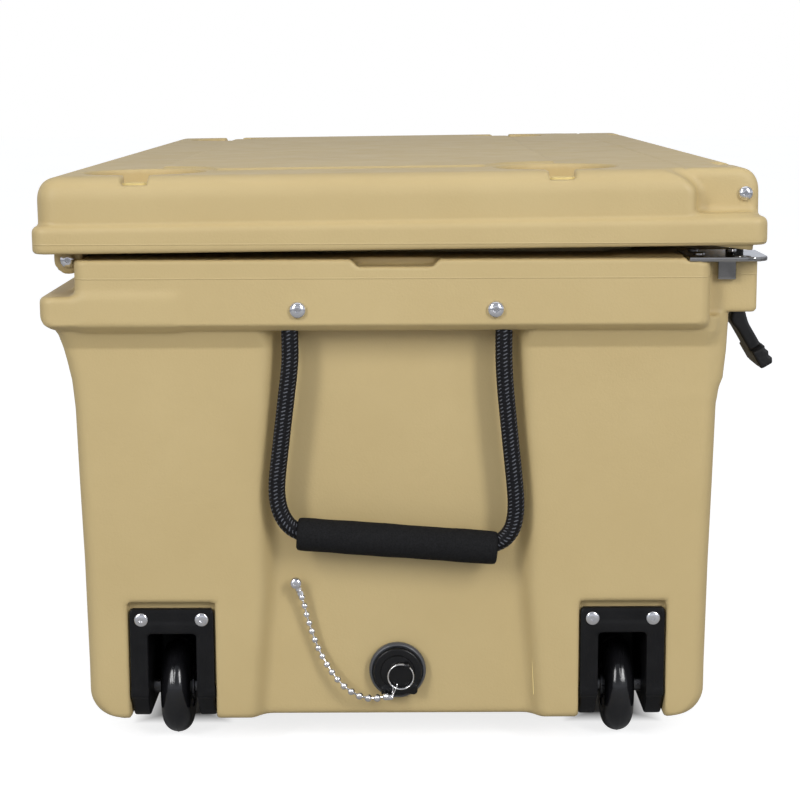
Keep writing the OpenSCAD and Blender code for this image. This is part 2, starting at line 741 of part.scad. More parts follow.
module lid_shell()
  color(tan_color) lid_at_rest() difference() {
    union() {
      lid_outline();
      both_ends() {
        for (x = [hinge_x0, knuckle_x + sleeve_len + lug_gap]) {
          rod_x(x, pin_y, pin_z, lug_len, knuckle_r);
          block([x, pin_y - knuckle_r, pin_z], [x + lug_len, pin_y + knuckle_r, lid_low + e]);
        }
      }
    }
    lid_void();
    both_ends() {
      for (y = [cup_back_y, cup_front_y]) {
        translate([cup_x, y, lid_top - cup_depth]) cylinder(h = 60, r = cup_d / 2);
        // drain notch from the cup out to the end
        block([-1, y - 9, lid_top - 6.5], [cup_x - 30, y + 9, lid_top + 20]);
      }
      // scoop in the corner, with the hole for a padlock in the skirt below it
      block([-1, -half_w - 1, skirt_top + 4], [scoop_x, scoop_y, lid_top + 20]);
      translate([13, -238, lid_low - 1]) cylinder(h = 40, r = 6);
      // slot for the latch
      block([latch_x - latch_slot_w / 2, -half_w - 1, lid_low - 1],
        [latch_x + latch_slot_w / 2, latch_pin_y + 11, lid_top + 20]);
      rod_x(scoop_x - 1, latch_pin_y, latch_pin_z, latch_x + latch_slot_w / 2 + 20 - scoop_x + 1,
        latch_pin_r + 0.05);
      hex_x(latch_x + latch_slot_w / 2 + 14, latch_pin_y, latch_pin_z, 8, 10.2);
      // hinge pin bore and the swing room for the body's knuckle
      rod_x(hinge_x0 - 1, pin_y, pin_z, 2 * lug_len + sleeve_len + 5, hinge_pin_r + 0.05);
      rod_x(knuckle_x - lug_gap, pin_y, pin_z, sleeve_len + 2 * lug_gap, knuckle_r + hinge_play);
    }
    for (x = [-60, 60]) translate([x, 0, lid_low - plug_drop - 1]) cylinder(h = skin + 2, r = 12);
  }

module lid_foam() color(foam_color) lid_at_rest() lid_void();

module lid_foam_plugs()
  color(tan_color) lid_at_rest() for (x = [-60, 60]) translate([x, 0, lid_low - plug_drop])
    cylinder(h = skin, r = 12);

gasket_w = 9;
gasket_h = 3.3;
module lid_gasket()
  color(rubber) lid_at_rest() difference() {
    slab(lid_low - gasket_h, lid_low, plug_x + gasket_w + 1, plug_front - gasket_w - 1,
      plug_back + gasket_w + 1, 20);
    slab(lid_low - gasket_h - 1, lid_low + 1, plug_x + 1, plug_front - 1, plug_back + 1, 16);
  }

hinge_pin_len = 2 * lug_len + sleeve_len + 2 * lug_gap;
module hinge_pin(s)
  color(zinc) lid_at_rest() at_end(s) translate([hinge_x0, pin_y, pin_z]) {
    pan_head_x(5.6, 4);
    rotate([0, 90, 0]) cylinder(h = hinge_pin_len + 7, r = hinge_pin_r);
  }
module hinge_pin_wheel_end() hinge_pin(-1);
module hinge_pin_far_end() hinge_pin(1);

module hinge_pin_nuts()
  color(zinc) lid_at_rest() both_ends() difference() {
    hex_x(hinge_x0 + hinge_pin_len, pin_y, pin_z, 5, 11);
    rod_x(hinge_x0 + hinge_pin_len - 1, pin_y, pin_z, 8, hinge_pin_r);
  }

// ---- latches ----
latch_pin_len = latch_x + latch_slot_w / 2 + 14 - scoop_x;
module latch_pin(s)
  color(zinc) lid_at_rest() at_end(s) translate([scoop_x, latch_pin_y, latch_pin_z]) {
    pan_head_x(5.1, 3.6);
    rotate([0, 90, 0]) cylinder(h = latch_pin_len + 6, r = latch_pin_r);
  }
module latch_pin_wheel_end() latch_pin(-1);
module latch_pin_far_end() latch_pin(1);

module latch_pin_nuts()
  color(zinc) lid_at_rest() both_ends() difference() {
    hex_x(scoop_x + latch_pin_len, latch_pin_y, latch_pin_z, 5, 10);
    rod_x(scoop_x + latch_pin_len - 1, latch_pin_y, latch_pin_z, 8, latch_pin_r);
  }

sleeve_r = 4.5;
eye_r = 9.5;
// outline of the strap seen from the end: y and z from the pin
strap_back = -0.6;
strap_low = -92;
module strap_profile()
  difference() {
    union() {
      circle(r = eye_r);
      polygon([[-8, 0], [8, 0], [strap_back + 1, -14], [strap_back - 2, strap_low],
        [strap_back - 2 - strap_t, strap_low],
        [strap_back - strap_t + 1, -16]]);
      translate([strap_back - 2 - strap_t / 2, strap_low]) circle(r = strap_t / 2);
      translate([strap_back - 2 - strap_t / 2, strap_low]) rotate(-kick) translate([-strap_t / 2, -42])
        square([strap_t, 42]);
    }
    circle(r = sleeve_r + 0.05);
  }
module grip_profile()
  translate([strap_back - 2 - strap_t / 2, strap_low]) rotate(-kick)
    polygon([[-strap_t / 2 - 2.5, -26], [-strap_t / 2, -23], [strap_t / 2, -23], [strap_t / 2, -42],
      [-strap_t / 2, -42], [-strap_t / 2 - 2.5, -33]]);

module across_x(x, w) translate([x - w / 2, latch_pin_y, latch_pin_z]) rotate([90, 0, 90])
  linear_extrude(height = w) children();

module latch_strap(s)
  color(rubber) lid_at_rest() at_end(s) {
    across_x(latch_x, latch_w) strap_profile();
    across_x(latch_x, 58) grip_profile();
  }
module latch_strap_wheel_end() latch_strap(-1);
module latch_strap_far_end() latch_strap(1);

module latch_sleeve(s)
  color(zinc) lid_at_rest() at_end(s) difference() {
    rod_x(latch_x - latch_w / 2, latch_pin_y, latch_pin_z, latch_w, sleeve_r);
    rod_x(latch_x - latch_w, latch_pin_y, latch_pin_z, 2 * latch_w, latch_pin_r + 0.06);
  }
module latch_sleeve_wheel_end() latch_sleeve(-1);
module latch_sleeve_far_end() latch_sleeve(1);

tub_shell();
tub_foam();
foam_plugs();
rubber_feet();
feet_screws();
wheel_bracket_back();
wheel_bracket_front();
bracket_screws();
axle_bolt_back();
axle_bolt_front();
axle_nuts();
axle_spacers();
drain_flange();
drain_gasket();
drain_tube();
drain_nut();
chain_screw();
drain_chain();
handle_bolts();
rope_ends();
lock_plate_wheel_end();
lock_plate_far_end();
lock_plate_screws();
hinge_sleeves();
lid_shell();
lid_foam();
lid_gasket();
lid_foam_plugs();
hinge_pin_wheel_end();
hinge_pin_far_end();
hinge_pin_nuts();
latch_pin_wheel_end();
latch_pin_far_end();
latch_pin_nuts();
latch_strap_wheel_end();
latch_sleeve_wheel_end();
latch_strap_far_end();
latch_sleeve_far_end();
handle_rope_wheel_end();
handle_grip_wheel_end();
handle_rope_far_end();
handle_grip_far_end();
wheel_tyre_back();
wheel_hub_back();
wheel_bearings_back();
wheel_tyre_front();
wheel_hub_front();
wheel_bearings_front();
drain_cap();
drain_cap_seal();
ring_swivel();
split_ring();
chain_link();
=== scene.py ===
"""Looks for the wheeled cooler chest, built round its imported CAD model.

Shapes are described in millimetres about the lid's centre line, as in the CAD source: x along the
chest, y across it (latches at -y, hinge at +y) and z up from the floor. place() turns that into the
row frame's metres.
"""

import json
import math

import bpy
import numpy as np
from mathutils import Matrix, Vector


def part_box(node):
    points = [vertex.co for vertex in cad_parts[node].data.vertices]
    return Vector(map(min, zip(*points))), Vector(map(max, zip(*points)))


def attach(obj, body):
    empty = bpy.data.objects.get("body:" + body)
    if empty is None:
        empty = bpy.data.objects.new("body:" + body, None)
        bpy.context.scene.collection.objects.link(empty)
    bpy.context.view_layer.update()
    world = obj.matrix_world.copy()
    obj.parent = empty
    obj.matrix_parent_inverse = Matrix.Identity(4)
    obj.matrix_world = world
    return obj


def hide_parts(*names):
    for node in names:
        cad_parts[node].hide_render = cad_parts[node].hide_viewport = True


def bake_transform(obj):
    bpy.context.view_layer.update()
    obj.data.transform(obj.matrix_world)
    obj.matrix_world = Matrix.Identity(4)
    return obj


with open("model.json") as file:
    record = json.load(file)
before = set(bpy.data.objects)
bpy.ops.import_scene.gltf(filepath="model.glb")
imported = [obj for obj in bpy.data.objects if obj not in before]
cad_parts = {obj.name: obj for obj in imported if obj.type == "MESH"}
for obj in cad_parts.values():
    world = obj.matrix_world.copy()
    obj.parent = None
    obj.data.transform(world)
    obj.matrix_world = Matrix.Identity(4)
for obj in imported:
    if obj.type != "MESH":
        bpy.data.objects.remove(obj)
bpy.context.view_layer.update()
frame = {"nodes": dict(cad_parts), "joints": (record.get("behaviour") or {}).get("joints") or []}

# ---- where the CAD puts things, in millimetres ----
MM = 0.001
JOINTS = {j["name"]: j for j in frame["joints"]}
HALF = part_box("lid_shell")[1].x / MM  # half the length over the lid skirt
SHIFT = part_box("tub_shell")[0].y / MM + 251.0  # row frame y of the lid's centre line
RIM_TOP = 358.0
RIM_LOW = 312.0
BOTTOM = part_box("tub_shell")[0].z / MM + 3.0
LID_LOW = RIM_TOP + 3.9
SKIRT_TOP = LID_LOW + 19.5
LID_TOP = SKIRT_TOP + 33.0
HINGE = [v / MM for v in JOINTS["lid_hinge"]["pos_m"]]
HINGE_Y = HINGE[1] - SHIFT
HINGE_Z = HINGE[2]
LID_TILT = math.radians(0.55)
WHEEL_Y = [JOINTS[n]["pos_m"][1] / MM - SHIFT for n in ("wheel_back_spin", "wheel_front_spin")]
WHEEL_OFF = HALF + JOINTS["wheel_back_spin"]["pos_m"][0] / MM
WHEEL_R = JOINTS["wheel_back_spin"]["pos_m"][2] / MM
DRAIN_Y = JOINTS["drain_cap_turn"]["pos_m"][1] / MM - SHIFT
DRAIN_Z = JOINTS["drain_cap_turn"]["pos_m"][2] / MM
PANEL_OFF = 35.0
CUP_OFF = 72.0
CUP_R = 44.0
CUP_YS = (182.0, -113.0)
LATCH_OFF = 85.0
LATCH_PIN = (-240.5, RIM_TOP + 38.5)
KNUCKLE = (57.0, 103.0)
LUGS = ((30.0, 56.0), (104.0, 130.0))


def place(points):
    """Millimetres about the lid's centre line to the row frame in metres."""
    p = np.array(points, float).reshape(-1, 3).copy()
    p[:, 1] += SHIFT
    return p * MM


def lid_rest(points):
    """The same for the lid's pieces, which are described shut flat and stand open a little."""
    p = np.array(points, float).reshape(-1, 3).copy()
    y, z = p[:, 1] - HINGE_Y, p[:, 2] - HINGE_Z
    p[:, 1] = HINGE_Y + y * math.cos(LID_TILT) + z * math.sin(LID_TILT)
    p[:, 2] = HINGE_Z - y * math.sin(LID_TILT) + z * math.cos(LID_TILT)
    return place(p)


# ---- camera ----
camera_data = bpy.data.cameras.new("camera")
camera_data.lens = 88.5
camera_data.sensor_width = 36.0
camera = bpy.data.objects.new("camera", camera_data)
bpy.context.scene.collection.objects.link(camera)
CAMERA_AT = Vector((-1.7915, SHIFT * MM, 0.482))
CAMERA_DOWN = 9.35
CAMERA_ROLL = -0.23
turn = Matrix.Rotation(math.radians(-90), 4, "Z") @ Matrix.Rotation(math.radians(90 - CAMERA_DOWN), 4, "X")
roll = Matrix.Rotation(math.radians(CAMERA_ROLL), 4, "Z")
camera.matrix_world = Matrix.Translation(CAMERA_AT) @ turn @ roll
bpy.context.scene.camera = camera


# ---- materials ----
class Nodes:
    """A material's node tree, with short ways to add nodes."""

    def __init__(self, name):
        self.material = bpy.data.materials.new(name)
        self.material.use_nodes = True
        self.tree = self.material.node_tree
        self.tree.nodes.clear()
        self.output = self.add("ShaderNodeOutputMaterial")
        self.shader = self.add("ShaderNodeBsdfPrincipled")
        self.link(self.shader, "BSDF", self.output, "Surface")
        self.coords = self.add("ShaderNodeTexCoord")

    def add(self, kind, **values):
        node = self.tree.nodes.new(kind)
        for key, value in values.items():
            setattr(node, key, value)
        return node

    def link(self, a, a_socket, b, b_socket):
        self.tree.links.new(a.outputs[a_socket], b.inputs[b_socket])

    def noise(self, scale, detail=3.0, roughness=0.55, stretch=None):
        noise = self.add("ShaderNodeTexNoise")
        noise.inputs["Scale"].default_value = scale
        noise.inputs["Detail"].default_value = detail
        noise.inputs["Roughness"].default_value = roughness
        if stretch:
            mapping = self.add("ShaderNodeMapping")
            mapping.inputs["Scale"].default_value = stretch
            self.link(self.coords, "Object", mapping, "Vector")
            self.link(mapping, "Vector", noise, "Vector")
        else:
            self.link(self.coords, "Object", noise, "Vector")
        return noise

    def ramp(self, source, socket, low, high, a, b):
        """Colours a at low to b at high."""
        ramp = self.add("ShaderNodeValToRGB")
        ramp.color_ramp.elements[0].position = low
        ramp.color_ramp.elements[1].position = high
        ramp.color_ramp.elements[0].color = (*a, 1)
        ramp.color_ramp.elements[1].color = (*b, 1)
        self.link(source, socket, ramp, "Fac")
        return ramp

    def spread(self, source, socket, low, high, a, b):
        """Numbers a at low to b at high."""
        node = self.add("ShaderNodeMapRange")
        for key, value in (("From Min", low), ("From Max", high), ("To Min", a), ("To Max", b)):
            node.inputs[key].default_value = value
        self.link(source, socket, node, "Value")
        return node

    def math(self, operation, a, b):
        node = self.add("ShaderNodeMath", operation=operation)
        for i, v in enumerate((a, b)):
            if isinstance(v, (int, float)):
                node.inputs[i].default_value = v
            else:
                self.tree.links.new(v, node.inputs[i])
        return node.outputs[0]

    def bump(self, height, strength, distance, previous=None):
        node = self.add("ShaderNodeBump")
        node.inputs["Strength"].default_value = strength
        node.inputs["Distance"].default_value = distance
        self.tree.links.new(height, node.inputs["Height"])
        if previous:
            self.link(previous, "Normal", node, "Normal")
        self.link(node, "Normal", self.shader, "Normal")
        return node

    def colour_noise(self, scale, a, b, detail=3.0):
        noise = self.noise(scale, detail)
        ramp = self.ramp(noise, "Fac", 0.3, 0.7, a, b)
        self.link(ramp, "Color", self.shader, "Base Color")
        return noise

    def rough_noise(self, scale, low, high):
        rough = self.spread(self.noise(scale), "Fac", 0.3, 0.7, low, high)
        self.link(rough, "Result", self.shader, "Roughness")


def seam(n, value, at, width):
    """A narrow bump where value passes at, as a moulding's parting line leaves."""
    distance = n.math("ABSOLUTE", n.math("SUBTRACT", value, at), 0.0)
    return n.math("MAXIMUM", n.math("SUBTRACT", 1.0, n.math("DIVIDE", distance, width)), 0.0)


TAN = (0.540, 0.416, 0.200)
TAN_DARK = (0.510, 0.388, 0.182)


def rotomoulded(name, seams):
    """Tan polyethylene with the fine grain of a rotational mould. seams are heights in metres."""
    n = Nodes(name)
    n.colour_noise(9.0, TAN_DARK, TAN, 4.0)
    n.rough_noise(40.0, 0.44, 0.56)
    n.shader.inputs["Specular IOR Level"].default_value = 0.42
    grain = n.noise(620.0, 2.0)
    wave = n.noise(38.0, 2.0)
    first = n.bump(wave.outputs["Fac"], 0.10, 0.004)
    second = n.bump(grain.outputs["Fac"], 0.16, 0.0009, first)
    axes = n.add("ShaderNodeSeparateXYZ")
    n.link(n.coords, "Object", axes, "Vector")
    height = None
    for z in seams:
        line = seam(n, axes.outputs["Z"], z, 0.0007)
        height = line if height is None else n.math("MAXIMUM", height, line)
    if height is not None:
        n.bump(height, 0.55, 0.0006, second)
    return n.material


def plastic(name, colour, rough, grain_scale, grain, spec=0.5):
    n = Nodes(name)
    lighter = tuple(min(1.0, c * 1.25 + 0.002) for c in colour)
    n.colour_noise(60.0, colour, lighter)
    n.rough_noise(90.0, rough * 0.88, rough * 1.12)
    n.shader.inputs["Specular IOR Level"].default_value = spec
    n.bump(n.noise(grain_scale, 2.0).outputs["Fac"], grain, 0.0006)
    return n.material


def metal(name, colour, rough, brushed=None):
    n = Nodes(name)
    darker = tuple(c * 0.86 for c in colour)
    n.colour_noise(70.0, darker, colour)
    n.shader.inputs["Metallic"].default_value = 1.0
    n.rough_noise(160.0, rough * 0.75, rough * 1.3)
    if brushed:
        n.bump(n.noise(900.0, 3.0, stretch=brushed).outputs["Fac"], 0.12, 0.0003)
    else:
        n.bump(n.noise(500.0, 2.0).outputs["Fac"], 0.03, 0.0003)
    return n.material


def braid():
    """Black braided rope; the mesh's fleck attribute marks the pale yarns that show."""
    n = Nodes("rope_braid")
    fleck = n.add("ShaderNodeAttribute", attribute_name="fleck")
    fibre = n.noise(1500.0, 2.0)
    base = n.ramp(fibre, "Fac", 0.3, 0.7, (0.003, 0.003, 0.0035), (0.011, 0.011, 0.013))
    mix = n.add("ShaderNodeMix", data_type="RGBA")
    mix.inputs["B"].default_value = (0.13, 0.137, 0.155, 1)
    n.link(base, "Color", mix, "A")
    n.link(fleck, "Fac", mix, "Factor")
    n.link(mix, "Result", n.shader, "Base Color")
    n.rough_noise(700.0, 0.45, 0.65)
    n.shader.inputs["Specular IOR Level"].default_value = 0.12
    n.bump(n.noise(2200.0, 2.0).outputs["Fac"], 0.35, 0.0004)
    return n.material


def foam_rubber():
    n = Nodes("grip_foam")
    n.colour_noise(900.0, (0.008, 0.008, 0.008), (0.015, 0.015, 0.016))
    n.rough_noise(300.0, 0.72, 0.92)
    n.shader.inputs["Specular IOR Level"].default_value = 0.1
    n.bump(n.noise(1400.0, 4.0).outputs["Fac"], 0.3, 0.0005)
    return n.material


TUB_TAN = rotomoulded("tub_tan", (0.3443,))
LID_TAN = rotomoulded("lid_tan", (0.3685,))
BLACK = plastic("bracket_black", (0.0045, 0.0045, 0.005), 0.42, 900.0, 0.25, 0.2)
CAP = plastic("cap_black", (0.003, 0.003, 0.0035), 0.24, 700.0, 0.08, 0.35)
RUBBER = plastic("latch_rubber", (0.006, 0.006, 0.0065), 0.46, 1000.0, 0.3, 0.3)
SOFT = plastic("soft_rubber", (0.014, 0.014, 0.014), 0.68, 1000.0, 0.3, 0.35)
TYRE = plastic("tyre_black", (0.006, 0.006, 0.007), 0.16, 300.0, 0.05)
HUB = plastic("hub_grey", (0.05, 0.05, 0.055), 0.45, 700.0, 0.2)
GREY = plastic("drain_grey", (0.06, 0.062, 0.068), 0.34, 700.0, 0.12)
FOAM = plastic("foam_cream", (0.62, 0.5, 0.22), 0.85, 700.0, 0.5, 0.2)
ZINC = metal("zinc", (0.80, 0.80, 0.82), 0.16)
# painted shade: the lock plates' steel is coloured darker than bare stainless, standing in for the shaded
# lid underside it reflects
STEEL_PAINTED_DARK = metal("stainless_painted_dark", (0.36, 0.35, 0.335), 0.14, (0.03, 1.0, 1.0))
# painted shade: zinc darkened so the axle parts inside the wheel pockets read dim
ZINC_PAINTED_DIM = metal("axle_zinc_painted_shade", (0.16, 0.16, 0.165), 0.3)
CHAIN = metal("chain_steel", (0.86, 0.85, 0.85), 0.1)
ROPE = braid()
GRIP = foam_rubber()


# ---- mesh making ----
def make(name, points, faces, material, body, nodes=(), smooth=35.0, blend=None):
    """A piece from points in the row frame, smooth but for edges sharper than smooth degrees."""
    mesh = bpy.data.meshes.new(name)
    mesh.from_pydata(np.asarray(points).tolist(), [], [tuple(f) for f in faces])
    mesh.validate()
    mesh.shade_smooth()
    if smooth:
        mesh.set_sharp_from_angle(angle=math.radians(smooth))
    mesh.materials.append(material)
    piece = bpy.data.objects.new(name, mesh)
    bpy.context.scene.collection.objects.link(piece)
    if blend:
        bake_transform(piece)
    else:
        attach(piece, body)
    if nodes:
        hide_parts(*nodes)
    return piece


def smooth_min(a, b, k):
    h = np.clip(0.5 + 0.5 * (b - a) / k, 0, 1)
    return b + (a - b) * h - k * h * (1 - h)


def smooth_max(a, b, k):
    return -smooth_min(-a, -b, k)


def plan(x, y, off, front, back, r):
    """Distance to a rounded rectangle in plan, its ends off millimetres in from the lid's."""
    qx = np.abs(x) - (HALF - off) + r
    qy = np.abs(y - (front + back) / 2) - (back - front) / 2 + r
    outside = np.hypot(np.maximum(qx, 0), np.maximum(qy, 0))
    return outside + np.minimum(np.maximum(qx, qy), 0) - r


def between(v, low, high):
    return np.abs(v - (low + high) / 2) - (high - low) / 2


def steps(low, high, coarse, fine):
    """Grid lines from low to high, coarse apart, and closer inside each (a, b, spacing) of fine."""
    lines, at = [low], low
    while at < high - 1e-6:
        spacing = min([s for a, b, s in fine if a <= at < b] or [coarse])
        ends = [a for a, b, s in fine if at < a < at + spacing]
        at = min([at + spacing, high] + ends)
        lines.append(at)
    return np.array(lines)


def surface(field, xs, ys, zs, passes=4, reach=2.5):
    """The zero surface of field as points and quads: one point for each crossed cell, then moved onto it."""
    f = np.empty((len(xs), len(ys), len(zs)), np.float32)
    for i in range(0, len(xs), 8):
        f[i : i + 8] = field(xs[i : i + 8, None, None], ys[None, :, None], zs[None, None, :])
    inside = f < 0
    shape = tuple(n - 1 for n in f.shape)
    count = np.zeros(shape, np.int8)
    for a in (0, 1):
        for b in (0, 1):
            for c in (0, 1):
                count += inside[a : a + shape[0], b : b + shape[1], c : c + shape[2]]
    cells = np.nonzero((count > 0) & (count < 8))
    index = np.full(shape, -1, np.int32)
    index[cells] = np.arange(len(cells[0]))
    axes = (xs, ys, zs)
    total, hits = np.zeros((len(cells[0]), 3)), np.zeros(len(cells[0]))
    for axis in range(3):
        others = [k for k in range(3) if k != axis]
        for d1 in (0, 1):
            for d2 in (0, 1):
                start = [cells[0], cells[1], cells[2]]
                start[others[0]] = start[others[0]] + d1
                start[others[1]] = start[others[1]] + d2
                stop = list(start)
                stop[axis] = stop[axis] + 1
                fa, fb = f[tuple(start)].astype(float), f[tuple(stop)].astype(float)
                crossed = (fa < 0) != (fb < 0)
                t = np.where(crossed, fa / np.where(crossed, fa - fb, 1.0), 0.0)
                pa = np.stack([axes[k][start[k]] for k in range(3)], 1)
                pb = np.stack([axes[k][stop[k]] for k in range(3)], 1)
                total += np.where(crossed[:, None], pa + t[:, None] * (pb - pa), 0.0)
                hits += crossed
    points = total / hits[:, None]
    h = 0.15
    for _ in range(passes):
        value = field(points[:, 0], points[:, 1], points[:, 2])
        slope = np.empty_like(points)
        for k in range(3):
            ahead, behind = points.copy(), points.copy()
            ahead[:, k] += h
            behind[:, k] -= h
            slope[:, k] = (field(*ahead.T) - field(*behind.T)) / (2 * h)
        size = np.maximum((slope**2).sum(1), 0.05)
        step = -np.asarray(value)[:, None] * slope / size[:, None]
        points += np.clip(step, -reach, reach)
    quads = []
    for axis, (u, v) in enumerate(((1, 2), (2, 0), (0, 1))):
        lower = [slice(None)] * 3
        upper = [slice(None)] * 3
        lower[axis], upper[axis] = slice(0, -1), slice(1, None)
        for k in (u, v):
            lower[k] = upper[k] = slice(1, -1)
        a, b = inside[tuple(lower)], inside[tuple(upper)]
        edge = np.nonzero(a != b)
        base = [e.copy() for e in edge]
        for k in (u, v):
            base[k] = base[k] + 1
        corners = []
        for du, dv in ((-1, -1), (0, -1), (0, 0), (-1, 0)):
            cell = [c.copy() for c in base]
            cell[u] = cell[u] + du
            cell[v] = cell[v] + dv
            corners.append(index[tuple(cell)])
        quad = np.stack(corners, 1)
        outward = a[edge]
        quad[~outward] = quad[~outward][:, ::-1]
        quads.append(quad)
    return points, np.concatenate(quads)


def rings(loops, closed_ends=True):
    """Quads that join loops of points, each loop the same length, and caps at both ends."""
    n = len(loops[0])
    faces = []
    for i in range(len(loops) - 1):
        for k in range(n):
            a, b = i * n + k, i * n + (k + 1) % n
            faces.append((a, b, b + n, a + n))
    if closed_ends:
        last = (len(loops) - 1) * n
        faces.append(tuple(range(n - 1, -1, -1)))
        faces.append(tuple(range(last, last + n)))
    return np.concatenate(loops), faces


def turned(profile, at, along, sides=48):
    """Loops of a turned shape. profile is (radius, height along the axis) or (radius, height, corners)."""
    w = Vector(along).normalized()
    u = w.orthogonal().normalized()
    v = w.cross(u)
    angles = np.arange(sides) * 2 * math.pi / sides
    loops = []
    for radius, height, *corners in profile:
        r = np.full(sides, float(radius))
        if corners:
            sector = math.pi / corners[0]
            local = angles % (2 * sector) - sector
            r = radius * math.cos(sector) / np.cos(local)
        ring = np.outer(r * np.cos(angles), u) + np.outer(r * np.sin(angles), v)
        loops.append(ring + np.array(at) + height * np.array(w))
    return loops


def frames(path):
    """Two directions across a path at each of its points, which turn with it as little as they can."""
    tangents = np.gradient(path, axis=0)
    tangents /= np.linalg.norm(tangents, axis=1)[:, None]
    side = np.array(Vector(tangents[0]).orthogonal().normalized())
    sides = []
    for t in tangents:
        side = side - (side @ t) * t
        side = side / np.linalg.norm(side)
        sides.append(side)
    sides = np.array(sides)
    return sides, np.cross(tangents, sides)


def even(path, spacing):
    """A smooth curve through path's points, with points spaced evenly along it."""
    p = np.array(path, float)
    p = np.vstack([2 * p[0] - p[1], p, 2 * p[-1] - p[-2]])
    out = []
    for i in range(1, len(p) - 2):
        for t in np.linspace(0, 1, 24, endpoint=False):
            a, b, c, d = p[i - 1 : i + 3]
            square = 2 * a - 5 * b + 4 * c - d
            cube = 3 * b - a - 3 * c + d
            out.append(0.5 * (2 * b + (c - a) * t + square * t**2 + cube * t**3))
    out.append(p[-2])
    out = np.array(out)
    along = np.concatenate([[0], np.cumsum(np.linalg.norm(np.diff(out, axis=0), axis=1))])
    want = np.linspace(0, along[-1], max(2, int(round(along[-1] / spacing)) + 1))
    return np.stack([np.interp(want, along, out[:, k]) for k in range(3)], 1)


def joined(parts):
    """Several (points, faces) as one."""
    points, faces, base = [], [], 0
    for p, f in parts:
        points.append(np.asarray(p))
        faces += [tuple(int(i) + base for i in q) for q in f]
        base += len(p)
    return np.concatenate(points), faces


# ---- the tub ----
def wall_off(z):
    return np.interp(z, [18, 30, 268, 294, 305.5, 312], [24.5, 24, 20.6, 20, 14, 14])


def foot_round(z, r=21.0):
    """How far the long walls draw in near the bottom, round a radius r."""
    up = np.clip(z - BOTTOM, 0, r)
    return r - np.sqrt(r**2 - (r - up) ** 2)


def wall_back(z):
    heights = [60, 139, 200, 250, 270, 286, 304, 312]
    out = np.interp(z, heights, [226.6, 227.8, 229.6, 230.8, 232.6, 236, 240.5, 246])
    return out - foot_round(z)


def wall_front(z):
    out = np.interp(z, [60, 136, 196, 262], [-220.4, -221.6, -223.2, -224.8])
    return out + foot_round(z)


def rim_off(z):
    """The rim's face, and the chamfer under it."""
    return np.interp(z, [305.8, 312], [13.5, 5])


def pad_front(z):
    return np.interp(z, [254, 262, 270, 290, 311], [-223, -225, -229, -231, -232])


def panel_half(z, off):
    """Half the width of the recess in an end wall, which widens downwards and towards its mouth."""
    return np.interp(z, [18, 60, 113, 189, 295, 312], [102, 99, 94, 92, 84, 83]) - 0.85 * (off - 27.5)


def tub_field(x, y, z):
    off = HALF - np.abs(x)
    from_wheel_end = x + HALF
    body = plan(x, y, wall_off(z), wall_front(z), wall_back(z), 11)
    body = smooth_max(body, BOTTOM - z, 5)
    body = smooth_max(body, z - 316, 1)
    pad = smooth_max(plan(x, y, 23.5, pad_front(z), -150, 8), between(z, 256, 325), 3)
    body = smooth_min(body, pad, 5)
    recess = smooth_max(np.abs(y - 2.65) - panel_half(z, off), off - PANEL_OFF, 5)
    recess = np.maximum(recess, z - RIM_LOW)
    body = smooth_max(body, -recess, 5)
    rim = smooth_max(plan(x, y, rim_off(z), -216, 226, 9), between(z, RIM_LOW - 5, RIM_TOP), 1.5)
    rim = smooth_max(rim, z - RIM_TOP, 3.5)
    ledge = smooth_max(plan(x, y, rim_off(z), 150, 250.8, 10), between(z, RIM_LOW - 5, 331.8), 4.5)
    ledge = smooth_max(ledge, (y - 250.8) * 0.62 + (314 - z) * 0.78, 4)
    block = smooth_max(plan(x, y, 23.5, -251, -150, 4), between(z, 317.5, RIM_TOP), 3.5)
    rim = smooth_min(smooth_min(rim, ledge, 6), block, 2)
    body = smooth_min(body, rim, 1.2)
    # hinge knuckles stand on the ledge, between pockets for the lid's lugs
    hinge = np.hypot(y - HINGE_Y, z - HINGE_Z)
    web = np.maximum(between(y, 222, HINGE_Y + 1), between(z, 322, HINGE_Z))
    knuckle = smooth_max(np.minimum(hinge - 10, web), between(off, *KNUCKLE), 1.5)
    for low, high in LUGS:
        body = smooth_max(body, -np.maximum(hinge - 10.8, between(off, low - 6, high + 1)), 1)
    body = smooth_min(body, knuckle, 3)
    # ice space, stepped up over the wheels
    space = smooth_max(plan(x, y, HALF - 373, -176, 182, 18), 48 - z, 14)
    arch = smooth_max(smooth_max(from_wheel_end - 150, 92 - np.abs(y - 3), 10), z - 124, 10)
    body = smooth_max(body, -smooth_max(space, -arch, 10), 3)
    # rim details: the notch in each end, the lock plate's seat and the latch channels
    notch = smooth_max(np.abs(y - 3) - np.interp(z, [352, 358], [26, 31.5]), 352 - z, 1.5)
    body = smooth_max(body, -np.maximum(notch, off - 24), 1.5)
    seat = np.maximum(np.maximum(354.8 - z, y + 199), off - 72)
    body = smooth_max(body, -seat, 0.8)
    channel = np.maximum(np.maximum(np.abs(off - LATCH_OFF) - 20, y + 238.5), 296 - z)
    body = smooth_max(body, -channel, 1.5)
    # wheel pockets
    for wheel_y in WHEEL_Y:
        across = np.abs(y - wheel_y)
        pocket = smooth_max(np.maximum(across - 31.5, z - 109), from_wheel_end - 30, 2)
        well = np.maximum(np.maximum(across - 24, z - 92.5), from_wheel_end - 112)
        slot = np.maximum(np.maximum(across - 31, z - 45), from_wheel_end - 78)
        body = smooth_max(body, -np.minimum(np.minimum(pocket, well), slot), 1.8)
    drain = np.maximum(np.hypot(y - DRAIN_Y, z - DRAIN_Z) - 12.1, from_wheel_end - 90)
    return smooth_max(body, -drain, 0.6)


